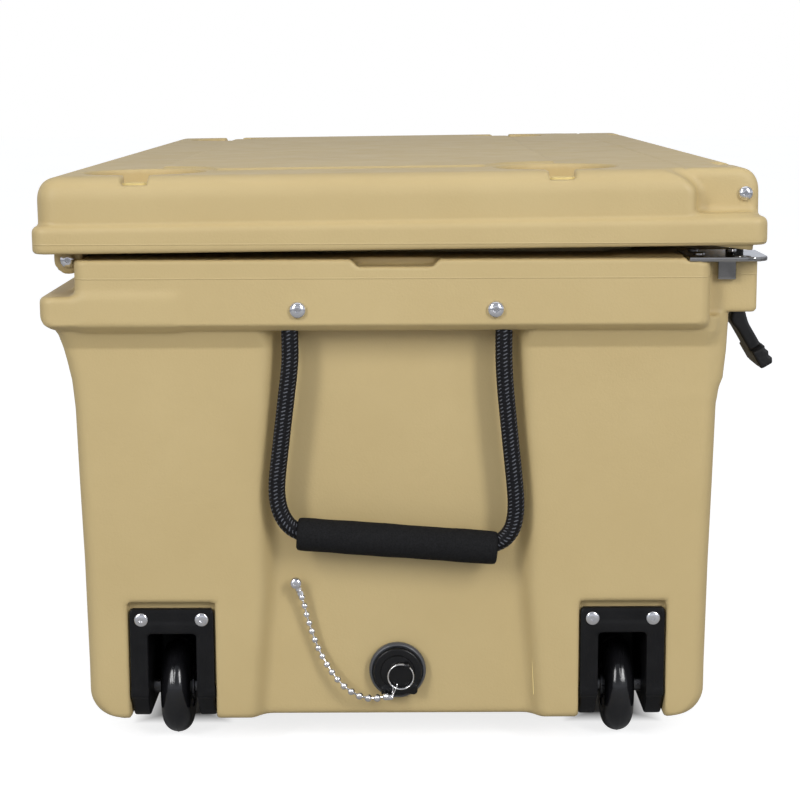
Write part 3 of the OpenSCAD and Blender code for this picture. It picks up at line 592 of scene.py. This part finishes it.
tub_ends = [
    (-HALF - 4, -HALF + 45, 2.4),
    (-HALF + 45, -HALF + 145, 4.5),
    (HALF - 145, HALF - 45, 4.5),
    (HALF - 45, HALF + 4, 2.6),
]
tub_x = steps(-HALF - 2, HALF + 2, 18.0, tub_ends)
tub_y = steps(-255, 254, 3.2, [(-255, -196, 2.3), (66, 110, 2.6), (-108, -70, 2.6), (204, 254, 2.3)])
tub_z = steps(BOTTOM - 2, 369, 3.6, [(BOTTOM - 2, 36, 2.4), (284, 369, 1.9)])
points, faces = surface(tub_field, tub_x, tub_y, tub_z)
make("tub", place(points), faces, TUB_TAN, "chest", ["tub_shell"], smooth=None)


# ---- the lid, shut flat ----
def lid_field(x, y, z):
    off = HALF - np.abs(x)
    skirt = plan(x, y, 0, -254.2, 253.6, 10)
    skirt = smooth_max(skirt, LID_LOW - z, 3.5)
    skirt = smooth_max(skirt, z - SKIRT_TOP, 5.5)
    upper = plan(x, y, 4, -250.6, 250.6, 16)
    scoop = smooth_max(off - 20, y + 205 - 0.06 * np.maximum(z - 397, 0) ** 2, 9)
    scoop = smooth_max(scoop, 383.6 - z, 5)
    upper = smooth_max(upper, z - LID_TOP, 17)
    upper = smooth_max(upper, -scoop, 7)
    upper = smooth_max(upper, 366 - z, 2)
    lid = smooth_min(skirt, upper, 1.6)
    panel = plan(x, y, 80, -116, 175, 6)
    for cup_y in CUP_YS:
        panel = smooth_max(panel, CUP_R + 7 - np.hypot(off - CUP_OFF, y - cup_y), 4)
    panel = smooth_max(panel, between(z, 400, LID_TOP + 1.6), 1.2)
    lid = smooth_min(lid, panel, 0.8)
    for cup_y in CUP_YS:
        cup = smooth_max(np.hypot(off - CUP_OFF, y - cup_y) - CUP_R, LID_TOP - 14 - z, 4)
        gutter = smooth_max(np.abs(y - cup_y) - 9, LID_TOP - 6.5 - z, 1)
        gutter = np.maximum(gutter, off - CUP_OFF + 30)
        lid = smooth_max(lid, -smooth_min(cup, gutter, 2.5), 1.6)
    latch = np.maximum(np.abs(off - LATCH_OFF) - 20, y - LATCH_PIN[0] - 11)
    lid = smooth_max(lid, -latch, 2)
    ruler = np.hypot(y + 200, z - LID_TOP - 0.3) - 1.3
    lid = smooth_max(lid, -ruler, 0.8)
    plug = smooth_max(plan(x, y, HALF - 367, -170, 176, 16), between(z, LID_LOW - 22, LID_LOW + 4), 5)
    lid = smooth_min(lid, plug, 3)
    boss = smooth_max(plan(x, y, 6, -245, -214, 7), LID_LOW - 4.4 + (y + 245) * 0.14 - z, 1.2)
    boss = np.maximum(smooth_max(boss, off - 36, 3), z - LID_LOW - 2)
    lid = smooth_min(lid, boss, 1)
    hinge = np.hypot(y - HINGE_Y, z - HINGE_Z)
    lug = np.minimum(hinge - 10, np.maximum(np.abs(y - HINGE_Y) - 10, between(z, HINGE_Z, LID_LOW + 4)))
    for low, high in LUGS:
        lid = smooth_min(lid, smooth_max(lug, between(off, low, high), 1.5), 1.5)
    room = np.maximum(hinge - 10.8, between(off, KNUCKLE[0] - 1, KNUCKLE[1] + 1))
    return smooth_max(lid, -room, 0.8)


lid_ends = [
    (-HALF - 4, -HALF + 34, 2.0),
    (-HALF + 34, -HALF + 135, 2.8),
    (HALF - 135, HALF - 34, 3.2),
    (HALF - 34, HALF + 4, 2.2),
]
lid_x = steps(-HALF - 4, HALF + 4, 18.0, lid_ends)
lid_y = steps(-256, 256, 3.4, [(-256, -190, 1.9), (126, 256, 2.4), (-166, -104, 2.6)])
lid_z = steps(334, 422, 2.6, [(356, 388, 1.7), (396, 422, 1.7)])
points, faces = surface(lid_field, lid_x, lid_y, lid_z)
make("lid", lid_rest(points), faces, LID_TAN, "lid", ["lid_shell"], smooth=None)


# ---- fasteners ----
def screw(name, at, along, radius, height, body, nodes, lid=False, socket=None, shank=None):
    """A domed screw head with a hex socket, and its shank, as (radius, length), behind."""
    socket = socket or radius * 0.33
    dome = [(radius * math.cos(a), height * (0.22 + 0.78 * math.sin(a))) for a in np.linspace(0, 1.15, 8)]
    profile = [(0.01, 0), (radius * 0.97, 0)] + dome
    top = dome[-1][1]
    floor_of_socket = top - height * 0.5
    profile += [(socket, top + 0.02, 6), (socket * 0.94, top - 0.2, 6)]
    profile += [(socket * 0.92, floor_of_socket, 6), (0.01, floor_of_socket)]
    loops = turned(profile, at, along)
    parts = [rings(loops)]
    if shank:
        parts.append(rings(turned([(shank[0], -0.01), (shank[0], -shank[1])][::-1], at, along, 24)))
    points, faces = joined(parts)
    at_rest = lid_rest(points) if lid else place(points)
    return make(name, at_rest, faces, ZINC, body, nodes)


for s, end in ((-1, "wheel_end"), (1, "far_end")):
    for k, side in ((1, "back"), (-1, "front")):
        screw(f"handle_bolt_{side}_{end}", (s * (HALF - 5), 2 + k * 68.7, 322.5), (s, 0, 0), 6, 4.2, "chest",
              ["handle_bolts"], shank=(3, 27))
    screw(f"hinge_head_{end}", (s * (HALF - 30), HINGE_Y, HINGE_Z), (s, 0, 0), 5.6, 4, "lid",
          [f"hinge_pin_{end}"], lid=True, shank=(4, 107))
    screw(f"latch_head_{end}", (s * (HALF - 20), *LATCH_PIN), (s, 0, 0), 5.1, 3.8, "lid",
          [f"latch_pin_{end}"], lid=True, shank=(3, 105))
for wheel_y, side in zip(WHEEL_Y, ("back", "front")):
    for k, edge in ((1, "outer"), (-1, "inner")):
        at = (-HALF + 24, wheel_y + k * 21.8, 96)
        screw(f"bracket_screw_{side}_{edge}", at, (-1, 0, 0), 5.0, 1.9, "chest", ["bracket_screws"],
              socket=1.5, shank=(2.5, 18))


# ---- wheels ----
HOUSING = 106.0


def bracket_field(off, y, z):
    """A wheel bracket: a plate with an arched opening, and two cheeks joined over the wheel."""
    plate = smooth_max(np.maximum(np.abs(y) - 30.6, between(z, 37.5, 104)), between(off, 24, 30), 1.2)
    plate = smooth_max(plate, np.hypot(np.maximum(np.abs(y) - 26.6, 0), np.maximum(z - 100, 0)) - 4, 1)
    opening = smooth_max(np.abs(y) - 17.8, z - 86, 4)
    plate = smooth_max(plate, -opening, 1.2)
    low = 18 + 0.045 * np.maximum(46 - off, 0) ** 2
    cheeks = smooth_max(between(np.abs(y), 18, 23), np.maximum(z - 92, low - z), 1.5)
    cheeks = smooth_max(cheeks, between(off, 24.5, HOUSING), 1.5)
    web = smooth_max(np.maximum(np.abs(y) - 19, between(z, 86, 92)), between(off, 24.5, HOUSING), 1.5)
    back = smooth_max(np.maximum(np.abs(y) - 20, between(z, 21, 90)), between(off, HOUSING - 3, HOUSING), 1)
    # painted shade: a black flare low beside each cheek, a dark sheet put where the wheel pocket is in shade
    shade_flare = smooth_max(between(np.abs(y), 18, 30.2), np.maximum(z - 43, low - z), 2)
    shade_flare = smooth_max(shade_flare, between(off, 24.5, 56), 2)
    part = smooth_min(smooth_min(plate, np.minimum(cheeks, shade_flare), 2), np.minimum(web, back), 3)
    hole = np.hypot(off - WHEEL_OFF, z - WHEEL_R) - 4.05
    return smooth_max(part, -hole, 0.4)


bracket_grid = (
    steps(22, 108, 2.2, [(22, 34, 1.0), (100, 108, 1.2)]),
    steps(-33, 33, 1.1, []),
    steps(20, 106, 1.5, []),
)
bracket_points, bracket_faces = surface(bracket_field, *bracket_grid, reach=1.2)


def tyre(wheel_y):
    """Round tread with the mould's seam round its middle, and a lip at each side."""
    profile = []
    for a in np.linspace(-math.pi / 2, math.pi / 2, 41):
        seam_height = 0.28 if abs(a) < 0.04 else 0.0
        profile.append((WHEEL_R - 11 + (11 + seam_height - 0.15) * math.cos(a), 11 * math.sin(a)))
    inner = [(17.0, 11.0), (17.0, 8.0), (17.0, -8.0), (17.0, -11.0)]
    outer = [(19.0, -11.0), (22.0, -10.6)] + profile[2:-2] + [(22.0, 10.6), (19.0, 11.0)]
    loops = turned(outer + inner + [(19.0, -11.0)], (-HALF + WHEEL_OFF, wheel_y, WHEEL_R), (0, 1, 0), 96)
    return rings(loops, closed_ends=False)


for wheel_y, side in zip(WHEEL_Y, ("back", "front")):
    moved = bracket_points + np.array([-HALF, wheel_y, 0])
    make(f"bracket_{side}", place(moved), bracket_faces, BLACK, "chest", [f"wheel_bracket_{side}"],
         50)
    points, faces = tyre(wheel_y)
    make(f"tyre_{side}", place(points), faces, TYRE, f"wheel_{side}", [f"wheel_tyre_{side}"])


# ---- drain ----
FLANGE = PANEL_OFF - 2 - 5
outward = (-1, 0, 0)


def drain_turned(profile, face, sides=72):
    return turned(profile, (-HALF + face, DRAIN_Y, DRAIN_Z), outward, sides)


flange_profile = [
    (9.0, -19.0), (12.0, -19.0), (12.0, -5.1), (19.6, -5.0), (20.5, -4.4), (20.7, -3.0),
    (20.5, -1.4), (19.7, -0.4), (19.2, 0.0), (18.9, 0.1), (18.5, -0.2), (18.35, -0.7),
    (18.3, -2.0), (9.6, -2.0), (9.0, -2.4), (9.0, -19.0),
]
points, faces = rings(drain_turned(flange_profile, FLANGE), closed_ends=False)
make("drain_flange_ring", place(points), faces, GREY, "chest", ["drain_flange"])
gasket_profile = [(12.0, -7.0), (19.8, -7.0), (20.1, -6.0), (19.8, -5.0), (12.0, -5.0), (12.0, -7.0)]
points, faces = rings(drain_turned(gasket_profile, FLANGE), closed_ends=False)
make("drain_washer", place(points), faces, SOFT, "chest", ["drain_gasket"])


def cap_field(out, y, z):
    """The cap: a disc with two ears at its lower edge and a threaded plug behind."""
    r = np.hypot(y, z)
    disc = smooth_max(r - 17.4, between(out, -1.6, 2.9), 1.1)
    ears = np.minimum(np.hypot(y - 8.6, z + 15.6) - 3.4, np.hypot(y + 11.4, z + 14.0) - 3.2)
    ears = smooth_max(ears, between(out, 0.45, 2.9), 1.0)
    cap = smooth_min(disc, ears, 3)
    thread = 0.35 * np.sin(2 * math.pi * out / 3.0 + np.arctan2(z, y))
    plug = smooth_max(r - 8.1 - thread, between(out, -15, -1), 0.6)
    return smooth_min(cap, plug, 0.6)


cap_grid = (steps(-17, 5, 0.7, [(-17, -3, 0.7)]), steps(-20, 20, 0.75, []), steps(-22, 20, 0.75, []))
points, faces = surface(cap_field, *cap_grid, reach=0.8)
points = points * np.array([-1, 1, 1]) + np.array([-HALF + FLANGE, DRAIN_Y, DRAIN_Z])
faces = faces[:, ::-1]
make("cap", place(points), faces, CAP, "drain_cap", ["drain_cap"], 50)

RING_OUT = 3.0 + 4.2
RING_C = (DRAIN_Y - 2.3, DRAIN_Z - 2.2)
RING_R = 9.2
swivel = [(0.01, 4.5), (9.0, 4.5), (12.0, 4.2), (12.4, 3.6), (12.4, 3.2), (0.01, 3.2)][::-1]
eye = [(2.3, 3.6), (2.3, 8.2), (1.9, 9.4), (1.1, 9.9), (0.01, 10.0)]
ring_parts = [
    rings(turned(swivel, (-HALF + FLANGE, DRAIN_Y, DRAIN_Z), outward, 64)),
    rings(turned(eye, (-HALF + FLANGE, DRAIN_Y - 6.8, DRAIN_Z + 5.8), outward, 24)),
]
points, faces = joined(ring_parts)
make("cap_swivel", place(points), faces, CAP, "drain_ring", ["ring_swivel"])


def tube(path, radius, sides):
    """A plain round tube along a path."""
    u, v = frames(path)
    angles = np.arange(sides) * 2 * math.pi / sides
    loops = []
    for i, p in enumerate(path):
        loops.append(p + radius * (np.outer(np.cos(angles), u[i]) + np.outer(np.sin(angles), v[i])))
    return rings(loops)


RING_X = -HALF + FLANGE - RING_OUT
turns = np.linspace(math.radians(150), math.radians(150 + 690), 150)
slide = np.interp(np.linspace(0, 1, 150), [0, 0.45, 0.55, 1], [-0.62, -0.62, 0.62, 0.62])
coil_y = RING_C[0] + RING_R * np.cos(turns)
coil_z = RING_C[1] + RING_R * np.sin(turns)
coil = np.stack([RING_X + slide, coil_y, coil_z], 1)
points, faces = tube(coil, 0.5, 12)
make("key_ring", place(points), faces, CHAIN, "drain_ring", ["split_ring"])

link_foot = np.array([RING_X - 1.0, DRAIN_Y + 4.0, 39.0])
wires = []
for dy in (-1.6, 1.2):
    head = np.array([RING_X - 1.35, DRAIN_Y + 2.1 + dy, 46.4 - 0.6 * dy])
    over_ring = [head + np.array([1.9, 0.1, 0.8]), head + np.array([0.6, 0, 1.5])]
    wires.append(tube(even(over_ring + [head, (head + link_foot) / 2, link_foot], 0.5), 0.42, 10))
barrel_profile = [(0.01, -1.0), (1.5, -0.9), (2.1, 0.2), (2.1, 3.6), (1.6, 4.6), (0.01, 4.8)]
barrel = turned(barrel_profile, tuple(link_foot), (0, 1, -0.1), 24)
points, faces = joined(wires + [rings(barrel)])
make("chain_fitting", place(points), faces, CHAIN, "drain_ring", ["chain_link"])

# ---- bead chain, hung from its anchor to the cap's ring ----
CHAIN_ROUTE = [
    (27.5, 71.3, 111.5), (28, 69.5, 105), (28.5, 68, 98), (29, 66, 91), (29.5, 64, 84),
    (29.5, 61.5, 77), (29, 58.5, 70), (28, 55, 63.5), (27, 51, 57), (26, 46.5, 51), (25, 41.5, 45.8),
    (24, 36, 41.8), (23, 30, 38.8), (22, 24, 37.6), (21, 18.5, 37.8), (20, 14, 38.8), (19.5, 11, 39.4),
]
BEAD_R = 2.8
PITCH = 6.5
route = even([(-HALF + off, y, z) for off, y, z in CHAIN_ROUTE], 0.5)
beads = even(route, PITCH)
bead_parts = []
for p in beads:
    stack = [(BEAD_R * math.sin(a), -BEAD_R * math.cos(a)) for a in np.linspace(0.02, math.pi - 0.02, 15)]
    bead_parts.append(rings(turned(stack, tuple(p), (0.2, 0.3, 1), 22)))
bead_parts.append(tube(route, 0.7, 8))
points, faces = joined(bead_parts)
chain_path = place(route)
still = tuple(place([(-HALF + 28, 64, 84)])[0])
moving = tuple(place([(-HALF + 22.5, 27, 38.2)])[0])
chain = make("bead_chain", place(points), faces, CHAIN, None, ["drain_chain"],
             blend=("chest", "drain_ring", still, moving))

anchor = (-HALF + PANEL_OFF - 8.5, 75.5, 122)
tip = np.array([-HALF + 27.9, 71.6, 112.3])
hub = np.array([-HALF + 27.9, 75.5, 122])
aim = (tip - hub) / np.linalg.norm(tip - hub)
eyelet = [(2.1, -0.7), (4.0, -0.7), (4.3, 0), (4.0, 0.7), (2.1, 0.7), (2.1, -0.7)]
coupling = [
    (0.01, 3.2), (2.0, 3.3), (2.9, 3.9), (2.9, 5.4), (2.0, 6.0),
    (2.9, 6.6), (2.9, 9.4), (2.0, 10.2), (0.01, 10.2),
]
anchor_parts = [
    rings(turned(eyelet, tuple(hub), outward, 36), closed_ends=False),
    rings(turned(coupling, tuple(hub), tuple(aim), 24)),
]
points, faces = joined(anchor_parts)
make("chain_coupling", place(points), faces, CHAIN, "chest", ["chain_screw"])
screw("chain_anchor", anchor, outward, 4.2, 2.8, "chest", [], socket=1.5, shank=(2, 19))

# ---- rope handles ----
ROPE_OFF = 17.0
ROPE_R = 6.1
ROPE_ROUTE = [
    (75, 330), (75, 318), (75, 305), (75, 288), (76, 276), (78, 260),
    (80.5, 240), (83, 220), (85, 203), (85.5, 190), (83.5, 178),
    (78.5, 168.5), (71, 162.8), (62, 161.2), (45, 160), (15, 157.8), (-15, 155.6), (-45, 153.4),
    (-60, 152.4), (-68, 153), (-75.5, 156.5), (-81, 163.5), (-83.5, 173), (-84, 185), (-82.5, 203),
    (-80.5, 222), (-78.5, 242), (-76.5, 262), (-75.5, 276), (-75, 288), (-75, 305), (-75, 318), (-75, 330),
]
STRANDS = 7
LAY = 9.5


def braided(path, radius, sides=72):
    """A braided tube: crossing strands that dip under and over, with a pale yarn in some of them."""
    u, v = frames(path)
    angle = np.arange(sides) / sides
    along = np.concatenate([[0], np.cumsum(np.linalg.norm(np.diff(path, axis=0), axis=1))])
    a = STRANDS * angle[None, :] + along[:, None] / LAY * STRANDS / 2
    b = STRANDS * angle[None, :] - along[:, None] / LAY * STRANDS / 2
    up = (np.floor(a) + np.floor(b)) % 2 == 0
    top = np.where(up, np.sin(math.pi * (a % 1)), np.sin(math.pi * (b % 1)))
    across = np.where(up, a % 1, b % 1)
    length = np.where(up, b % 1, a % 1)
    r = radius * (0.92 + 0.08 * np.sqrt(np.clip(top, 0, 1)) * (0.75 + 0.25 * np.sin(math.pi * length)))
    fleck = (np.abs(across - 0.5) < 0.13) & (np.abs(length - 0.5) < 0.46) & ~up
    loops = []
    for i, p in enumerate(path):
        ring = np.outer(np.cos(2 * math.pi * angle), u[i]) + np.outer(np.sin(2 * math.pi * angle), v[i])
        loops.append(p + ring * r[i][:, None])
    points, faces = rings(loops)
    return points, faces, fleck.astype(np.float32).ravel()


def grip_loops(s):
    """A foam tube on the middle of the rope: soft ends, and a little out of true."""
    axis = Vector((0, math.cos(GRIP_TILT), math.sin(GRIP_TILT)))
    end = [(6.6, 70.4), (9.9, 71.3), (11.3, 70.4), (11.75, 68.4)]
    profile = [(r, -h) for r, h in end]
    for h in np.linspace(-64, 64, 32):
        profile.append((11.9 + 0.12 * math.sin(h * 0.09) + 0.08 * math.sin(h * 0.23), h))
    profile += end[::-1] + [(6.6, -70.4)]
    return turned(profile, (s * (HALF - ROPE_OFF), 2.4, 155.4), axis, 64)


GRIP_TILT = 0.0765
for s, end in ((-1, "wheel_end"), (1, "far_end")):
    x = s * (HALF - ROPE_OFF)
    path = even([(x, y + 2, z) for y, z in ROPE_ROUTE], 0.5)
    points, faces, fleck = braided(path, ROPE_R)
    handle = f"handle_{end}"
    top, low = place([(x, 2, 311)])[0], place([(x, 2, 286)])[0]
    rope = make(f"rope_{end}", place(points), faces, ROPE, None, [f"handle_rope_{end}", "rope_ends"],
                None, ("chest", handle, tuple(top), tuple(low)))
    mark = rope.data.attributes.new("fleck", "FLOAT", "POINT")
    mark.data.foreach_set("value", fleck)
    points, faces = rings(grip_loops(s), closed_ends=False)
    grip = make(f"grip_{end}", place(points), faces, GRIP, handle, [f"handle_grip_{end}"], 60)
    rope_path = place(np.vstack([path[:-1:4], path[-1:]]))


# ---- lock plates ----
def plate_field(off, y, z):
    """A 3 mm steel plate with a round nose past the corner, a lock hole and a bent opener tooth."""
    flat = between(z, RIM_TOP - 3.2, RIM_TOP - 0.2)
    main = np.maximum(between(off, 5.3, 70), between(y, -250, -200))
    sheet = np.minimum(main, np.maximum(between(off, 17, 70), between(y, -256, -240)))
    sheet = np.minimum(sheet, np.hypot(off - 18, y + 243) - 13)
    sheet = np.maximum(sheet, -(off * 0.8 + (y + 252) * 0.6 - 4))
    sheet = np.maximum(sheet, -(np.hypot(off - 13, y + 238) - 5))
    sheet = np.maximum(sheet, -np.maximum(64.8 - off, y + 238.5))
    sheet = smooth_max(sheet, flat, 0.6)
    tooth = np.maximum(between(off, 18.5, 21.5), between(y, -235, -222))
    tooth = smooth_max(tooth, between(z, RIM_TOP - 17, RIM_TOP - 1), 0.8)
    return smooth_min(sheet, tooth, 0.8)


plate_grid = (
    steps(2, 73, 1.1, [(2, 30, 0.8)]),
    steps(-259, -197, 1.0, []),
    steps(RIM_TOP - 19, RIM_TOP + 1.5, 0.7, []),
)
plate_points, plate_faces = surface(plate_field, *plate_grid, reach=0.8)


def both_ways(points, faces, s):
    """Points described by depth from an end plane, put at end s. The far end is mirrored."""
    moved = points * np.array([-s, 1, 1]) + np.array([s * HALF, 0, 0])
    return moved, faces[:, ::-1] if s > 0 else faces


for s, end in ((-1, "wheel_end"), (1, "far_end")):
    points, faces = both_ways(plate_points, plate_faces, s)
    make(f"plate_{end}", place(points), faces, STEEL_PAINTED_DARK, "chest", [f"lock_plate_{end}"], 40)
    for i, (off, y) in enumerate(((34, -211), (62, -211), (62, -238))):
        screw(f"plate_screw_{i}_{end}", (s * (HALF - off), y, RIM_TOP - 0.2), (0, 0, 1), 4, 1.7, "chest",
              ["lock_plate_screws"], socket=1.3, shank=(2.05, 15))


# ---- latches ----
def near_segment(u, v, a, b):
    """Distance from (u, v) to the segment from a to b."""
    d = (b[0] - a[0], b[1] - a[1])
    length = math.hypot(*d)
    t = np.clip(((u - a[0]) * d[0] + (v - a[1]) * d[1]) / length**2, 0, 1)
    return np.hypot(u - a[0] - t * d[0], v - a[1] - t * d[1])


KICK = math.radians(30)
BEND = (-4.9, -93.5)
PULL = 38.5
TIP = (BEND[0] - PULL * math.sin(KICK), BEND[1] - PULL * math.cos(KICK))


def latch_field(off, u, v):
    """A rubber strap latch: an eye round the pin, a long strap and a ribbed pull at the tip."""
    eye = np.hypot(u, v) - 9.4
    strap = near_segment(u, v, (-3.5, -6), BEND)
    kick = near_segment(u, v, BEND, (TIP[0] * 2 - BEND[0], TIP[1] * 2 - BEND[1]))
    along = -(u - BEND[0]) * math.sin(KICK) - (v - BEND[1]) * math.cos(KICK)
    outer = -(u - BEND[0]) * math.cos(KICK) + (v - BEND[1]) * math.sin(KICK)
    body = smooth_min(smooth_min(strap - 4.4, eye, 6), kick - 4.6, 5)
    width = np.abs(off - LATCH_OFF)
    body = smooth_max(body, width - 18 + 4 * np.exp(-((v + 45) / 24) ** 2), 1.6)
    ribs = 0.5 * np.cos(2 * math.pi * (along - PULL + 3.5) / 5.5)
    pull = np.maximum(outer - 5.4 - ribs, -4.9 - outer)
    pull = smooth_max(smooth_max(pull, PULL - 14 - along, 1.0), width - 29, 2)
    body = smooth_max(smooth_min(body, pull, 1.5), along - PULL, 1.5)
    return smooth_max(body, -(np.hypot(u, v) - 4.55), 0.4)


latch_grid = (
    steps(54, 116, 2.4, [(54, 70, 1.6), (100, 116, 1.6)]),
    steps(-36, 12, 0.9, []),
    steps(-134, 12, 1.0, []),
)
latch_points, latch_faces = surface(latch_field, *latch_grid, reach=1.0)
for s, end in ((-1, "wheel_end"), (1, "far_end")):
    points, faces = both_ways(latch_points + np.array([0, *LATCH_PIN]), latch_faces, s)
    make(f"latch_{end}", lid_rest(points), faces, RUBBER, f"latch_{end}", [f"latch_strap_{end}"],
         50)


# ---- gasket, feet and what stays as the CAD made it ----
def gasket_field(x, y, z):
    outer = plan(x, y, HALF - 377, -180, 186, 20)
    inner = plan(x, y, HALF - 368, -171, 177, 16)
    return smooth_max(np.maximum(outer, -inner), between(z, LID_LOW - 3.3, LID_LOW), 1.6)


gasket_grid = (
    steps(-382, 382, 20, [(-382, -350, 2.0), (350, 382, 2.0)]),
    steps(-184, 190, 20, [(-184, -150, 2.0), (156, 190, 2.0)]),
    steps(LID_LOW - 5, LID_LOW + 1.5, 0.8, []),
)
points, faces = surface(gasket_field, *gasket_grid, reach=0.8)
make("seal", lid_rest(points), faces, SOFT, "lid", ["lid_gasket"], 50)

foot_profile = [
    (6, 8), (6, 0.4), (6.6, 0), (21.5, 0), (22.8, 0.6), (24.4, 5), (24.8, BOTTOM - 1.5),
    (24, BOTTOM - 0.1), (2.6, BOTTOM - 0.1), (2.6, 8), (6, 8),
]
foot_parts = []
for foot_y in (153, -147):
    foot_parts.append(rings(turned(foot_profile, (HALF - 70, foot_y, 0), (0, 0, 1), 64), closed_ends=False))
points, faces = joined(foot_parts)
make("feet", place(points), faces, SOFT, "chest", ["rubber_feet"])

SHOWN = {
    ZINC: [
        "feet_screws", "hinge_pin_nuts", "latch_pin_nuts",
        "latch_sleeve_wheel_end", "latch_sleeve_far_end",
    ],
    ZINC_PAINTED_DIM: [
        "axle_bolt_back", "axle_bolt_front", "axle_nuts", "axle_spacers",
        "wheel_bearings_back", "wheel_bearings_front",
    ],
    FOAM: ["tub_foam", "lid_foam"],
    TUB_TAN: ["foam_plugs"],
    LID_TAN: ["lid_foam_plugs"],
    GREY: ["drain_tube", "drain_nut"],
    BLACK: ["hinge_sleeves"],
    HUB: ["wheel_hub_back", "wheel_hub_front"],
    SOFT: ["drain_cap_seal"],
}
for material, names in SHOWN.items():
    for name in names:
        node = frame["nodes"][name]
        node.data.materials.clear()
        node.data.materials.append(material)

# ---- floor and light ----
floor_mesh = bpy.data.meshes.new("floor")
WIDE = 14.0
corners = [(-WIDE, -WIDE, 0), (WIDE, -WIDE, 0), (WIDE, WIDE, 0), (-WIDE, WIDE, 0)]
floor_mesh.from_pydata(corners, [], [(0, 1, 2, 3)])
floor = bpy.data.objects.new("floor", floor_mesh)
bpy.context.scene.collection.objects.link(floor)
floor_nodes = Nodes("floor_white")
floor_nodes.colour_noise(2.0, (0.36, 0.36, 0.36), (0.38, 0.38, 0.38))
floor_nodes.shader.inputs["Roughness"].default_value = 0.8
floor_nodes.shader.inputs["Emission Color"].default_value = (1, 1, 1, 1)
seen_by = floor_nodes.add("ShaderNodeLightPath")

# the floor glows white for the camera, but for a soft strip along each row of wheels, in metres
STRIP_HALF_LENGTH = 0.352
STRIP_HALF_WIDTH = 0.026
WHEELS_MIDDLE = 0.0142
WHEEL_FROM_MIDDLE = 0.1628
FADE = 0.012
FLOOR_GLOW = 0.8


def size_of(value):
    return floor_nodes.math("ABSOLUTE", value, 0.0)


spot = floor_nodes.add("ShaderNodeSeparateXYZ")
floor_nodes.link(floor_nodes.coords, "Object", spot, "Vector")
ahead = floor_nodes.math("SUBTRACT", size_of(spot.outputs["X"]), STRIP_HALF_LENGTH)
from_middle = size_of(floor_nodes.math("SUBTRACT", spot.outputs["Y"], WHEELS_MIDDLE))
from_wheel = size_of(floor_nodes.math("SUBTRACT", from_middle, WHEEL_FROM_MIDDLE))
aside = floor_nodes.math("SUBTRACT", from_wheel, STRIP_HALF_WIDTH)
clear = floor_nodes.add("ShaderNodeMapRange")
clear.inputs["From Min"].default_value = -FADE
clear.inputs["From Max"].default_value = FADE
floor_nodes.tree.links.new(floor_nodes.math("MAXIMUM", ahead, aside), clear.inputs["Value"])
bright = floor_nodes.math("MULTIPLY", seen_by.outputs["Is Camera Ray"], FLOOR_GLOW)
bright = floor_nodes.math("MULTIPLY", bright, clear.outputs["Result"])
floor_nodes.tree.links.new(bright, floor_nodes.shader.inputs["Emission Strength"])
floor_mesh.materials.append(floor_nodes.material)

world = bpy.data.worlds.new("studio")
bpy.context.scene.world = world
world.use_nodes = True
sky = world.node_tree
seen = sky.nodes["Background"]
seen.inputs["Color"].default_value = (1, 1, 1, 1)
glow = sky.nodes.new("ShaderNodeBackground")
path_kind = sky.nodes.new("ShaderNodeLightPath")
either = sky.nodes.new("ShaderNodeMixShader")
direction = sky.nodes.new("ShaderNodeTexCoord")
height = sky.nodes.new("ShaderNodeSeparateXYZ")
fade = sky.nodes.new("ShaderNodeValToRGB")
stops = fade.color_ramp.elements
for at, value in ((0.0, 0.5), (0.12, 0.8), (0.35, 0.45), (1.0, 0.4)):
    if at == 0:
        stop = stops[0]
    elif at < 1:
        stop = stops.new(at)
    else:
        stop = stops[-1]
    stop.color = (value * 0.96, value, value * 1.1, 1)
sky.links.new(direction.outputs["Generated"], height.inputs[0])
sky.links.new(height.outputs["Z"], fade.inputs["Fac"])
sky.links.new(fade.outputs["Color"], glow.inputs["Color"])
sky.links.new(path_kind.outputs["Is Camera Ray"], either.inputs["Fac"])
sky.links.new(glow.outputs[0], either.inputs[1])
sky.links.new(seen.outputs[0], either.inputs[2])
sky.links.new(either.outputs[0], sky.nodes["World Output"].inputs["Surface"])
bpy.context.scene.view_settings.view_transform = "Standard"


def softbox(name, at, aim, size, power):
    data = bpy.data.lights.new(name, "AREA")
    data.shape = "RECTANGLE"
    data.size, data.size_y = size
    data.energy = power
    light = bpy.data.objects.new(name, data)
    bpy.context.scene.collection.objects.link(light)
    light.location = at
    light.rotation_mode = "QUATERNION"
    light.rotation_quaternion = (Vector(aim) - Vector(at)).to_track_quat("-Z", "Y")


softbox("front_left", (-2.3, 1.5, 1.5), (-0.4, 0, 0.25), (0.5, 1.4), 30)
softbox("front_right", (-2.3, -1.4, 1.5), (-0.4, 0, 0.25), (0.5, 1.4), 32)
softbox("above", (-0.3, 0, 2.6), (0, 0, 0.3), (2.4, 1.8), 11)
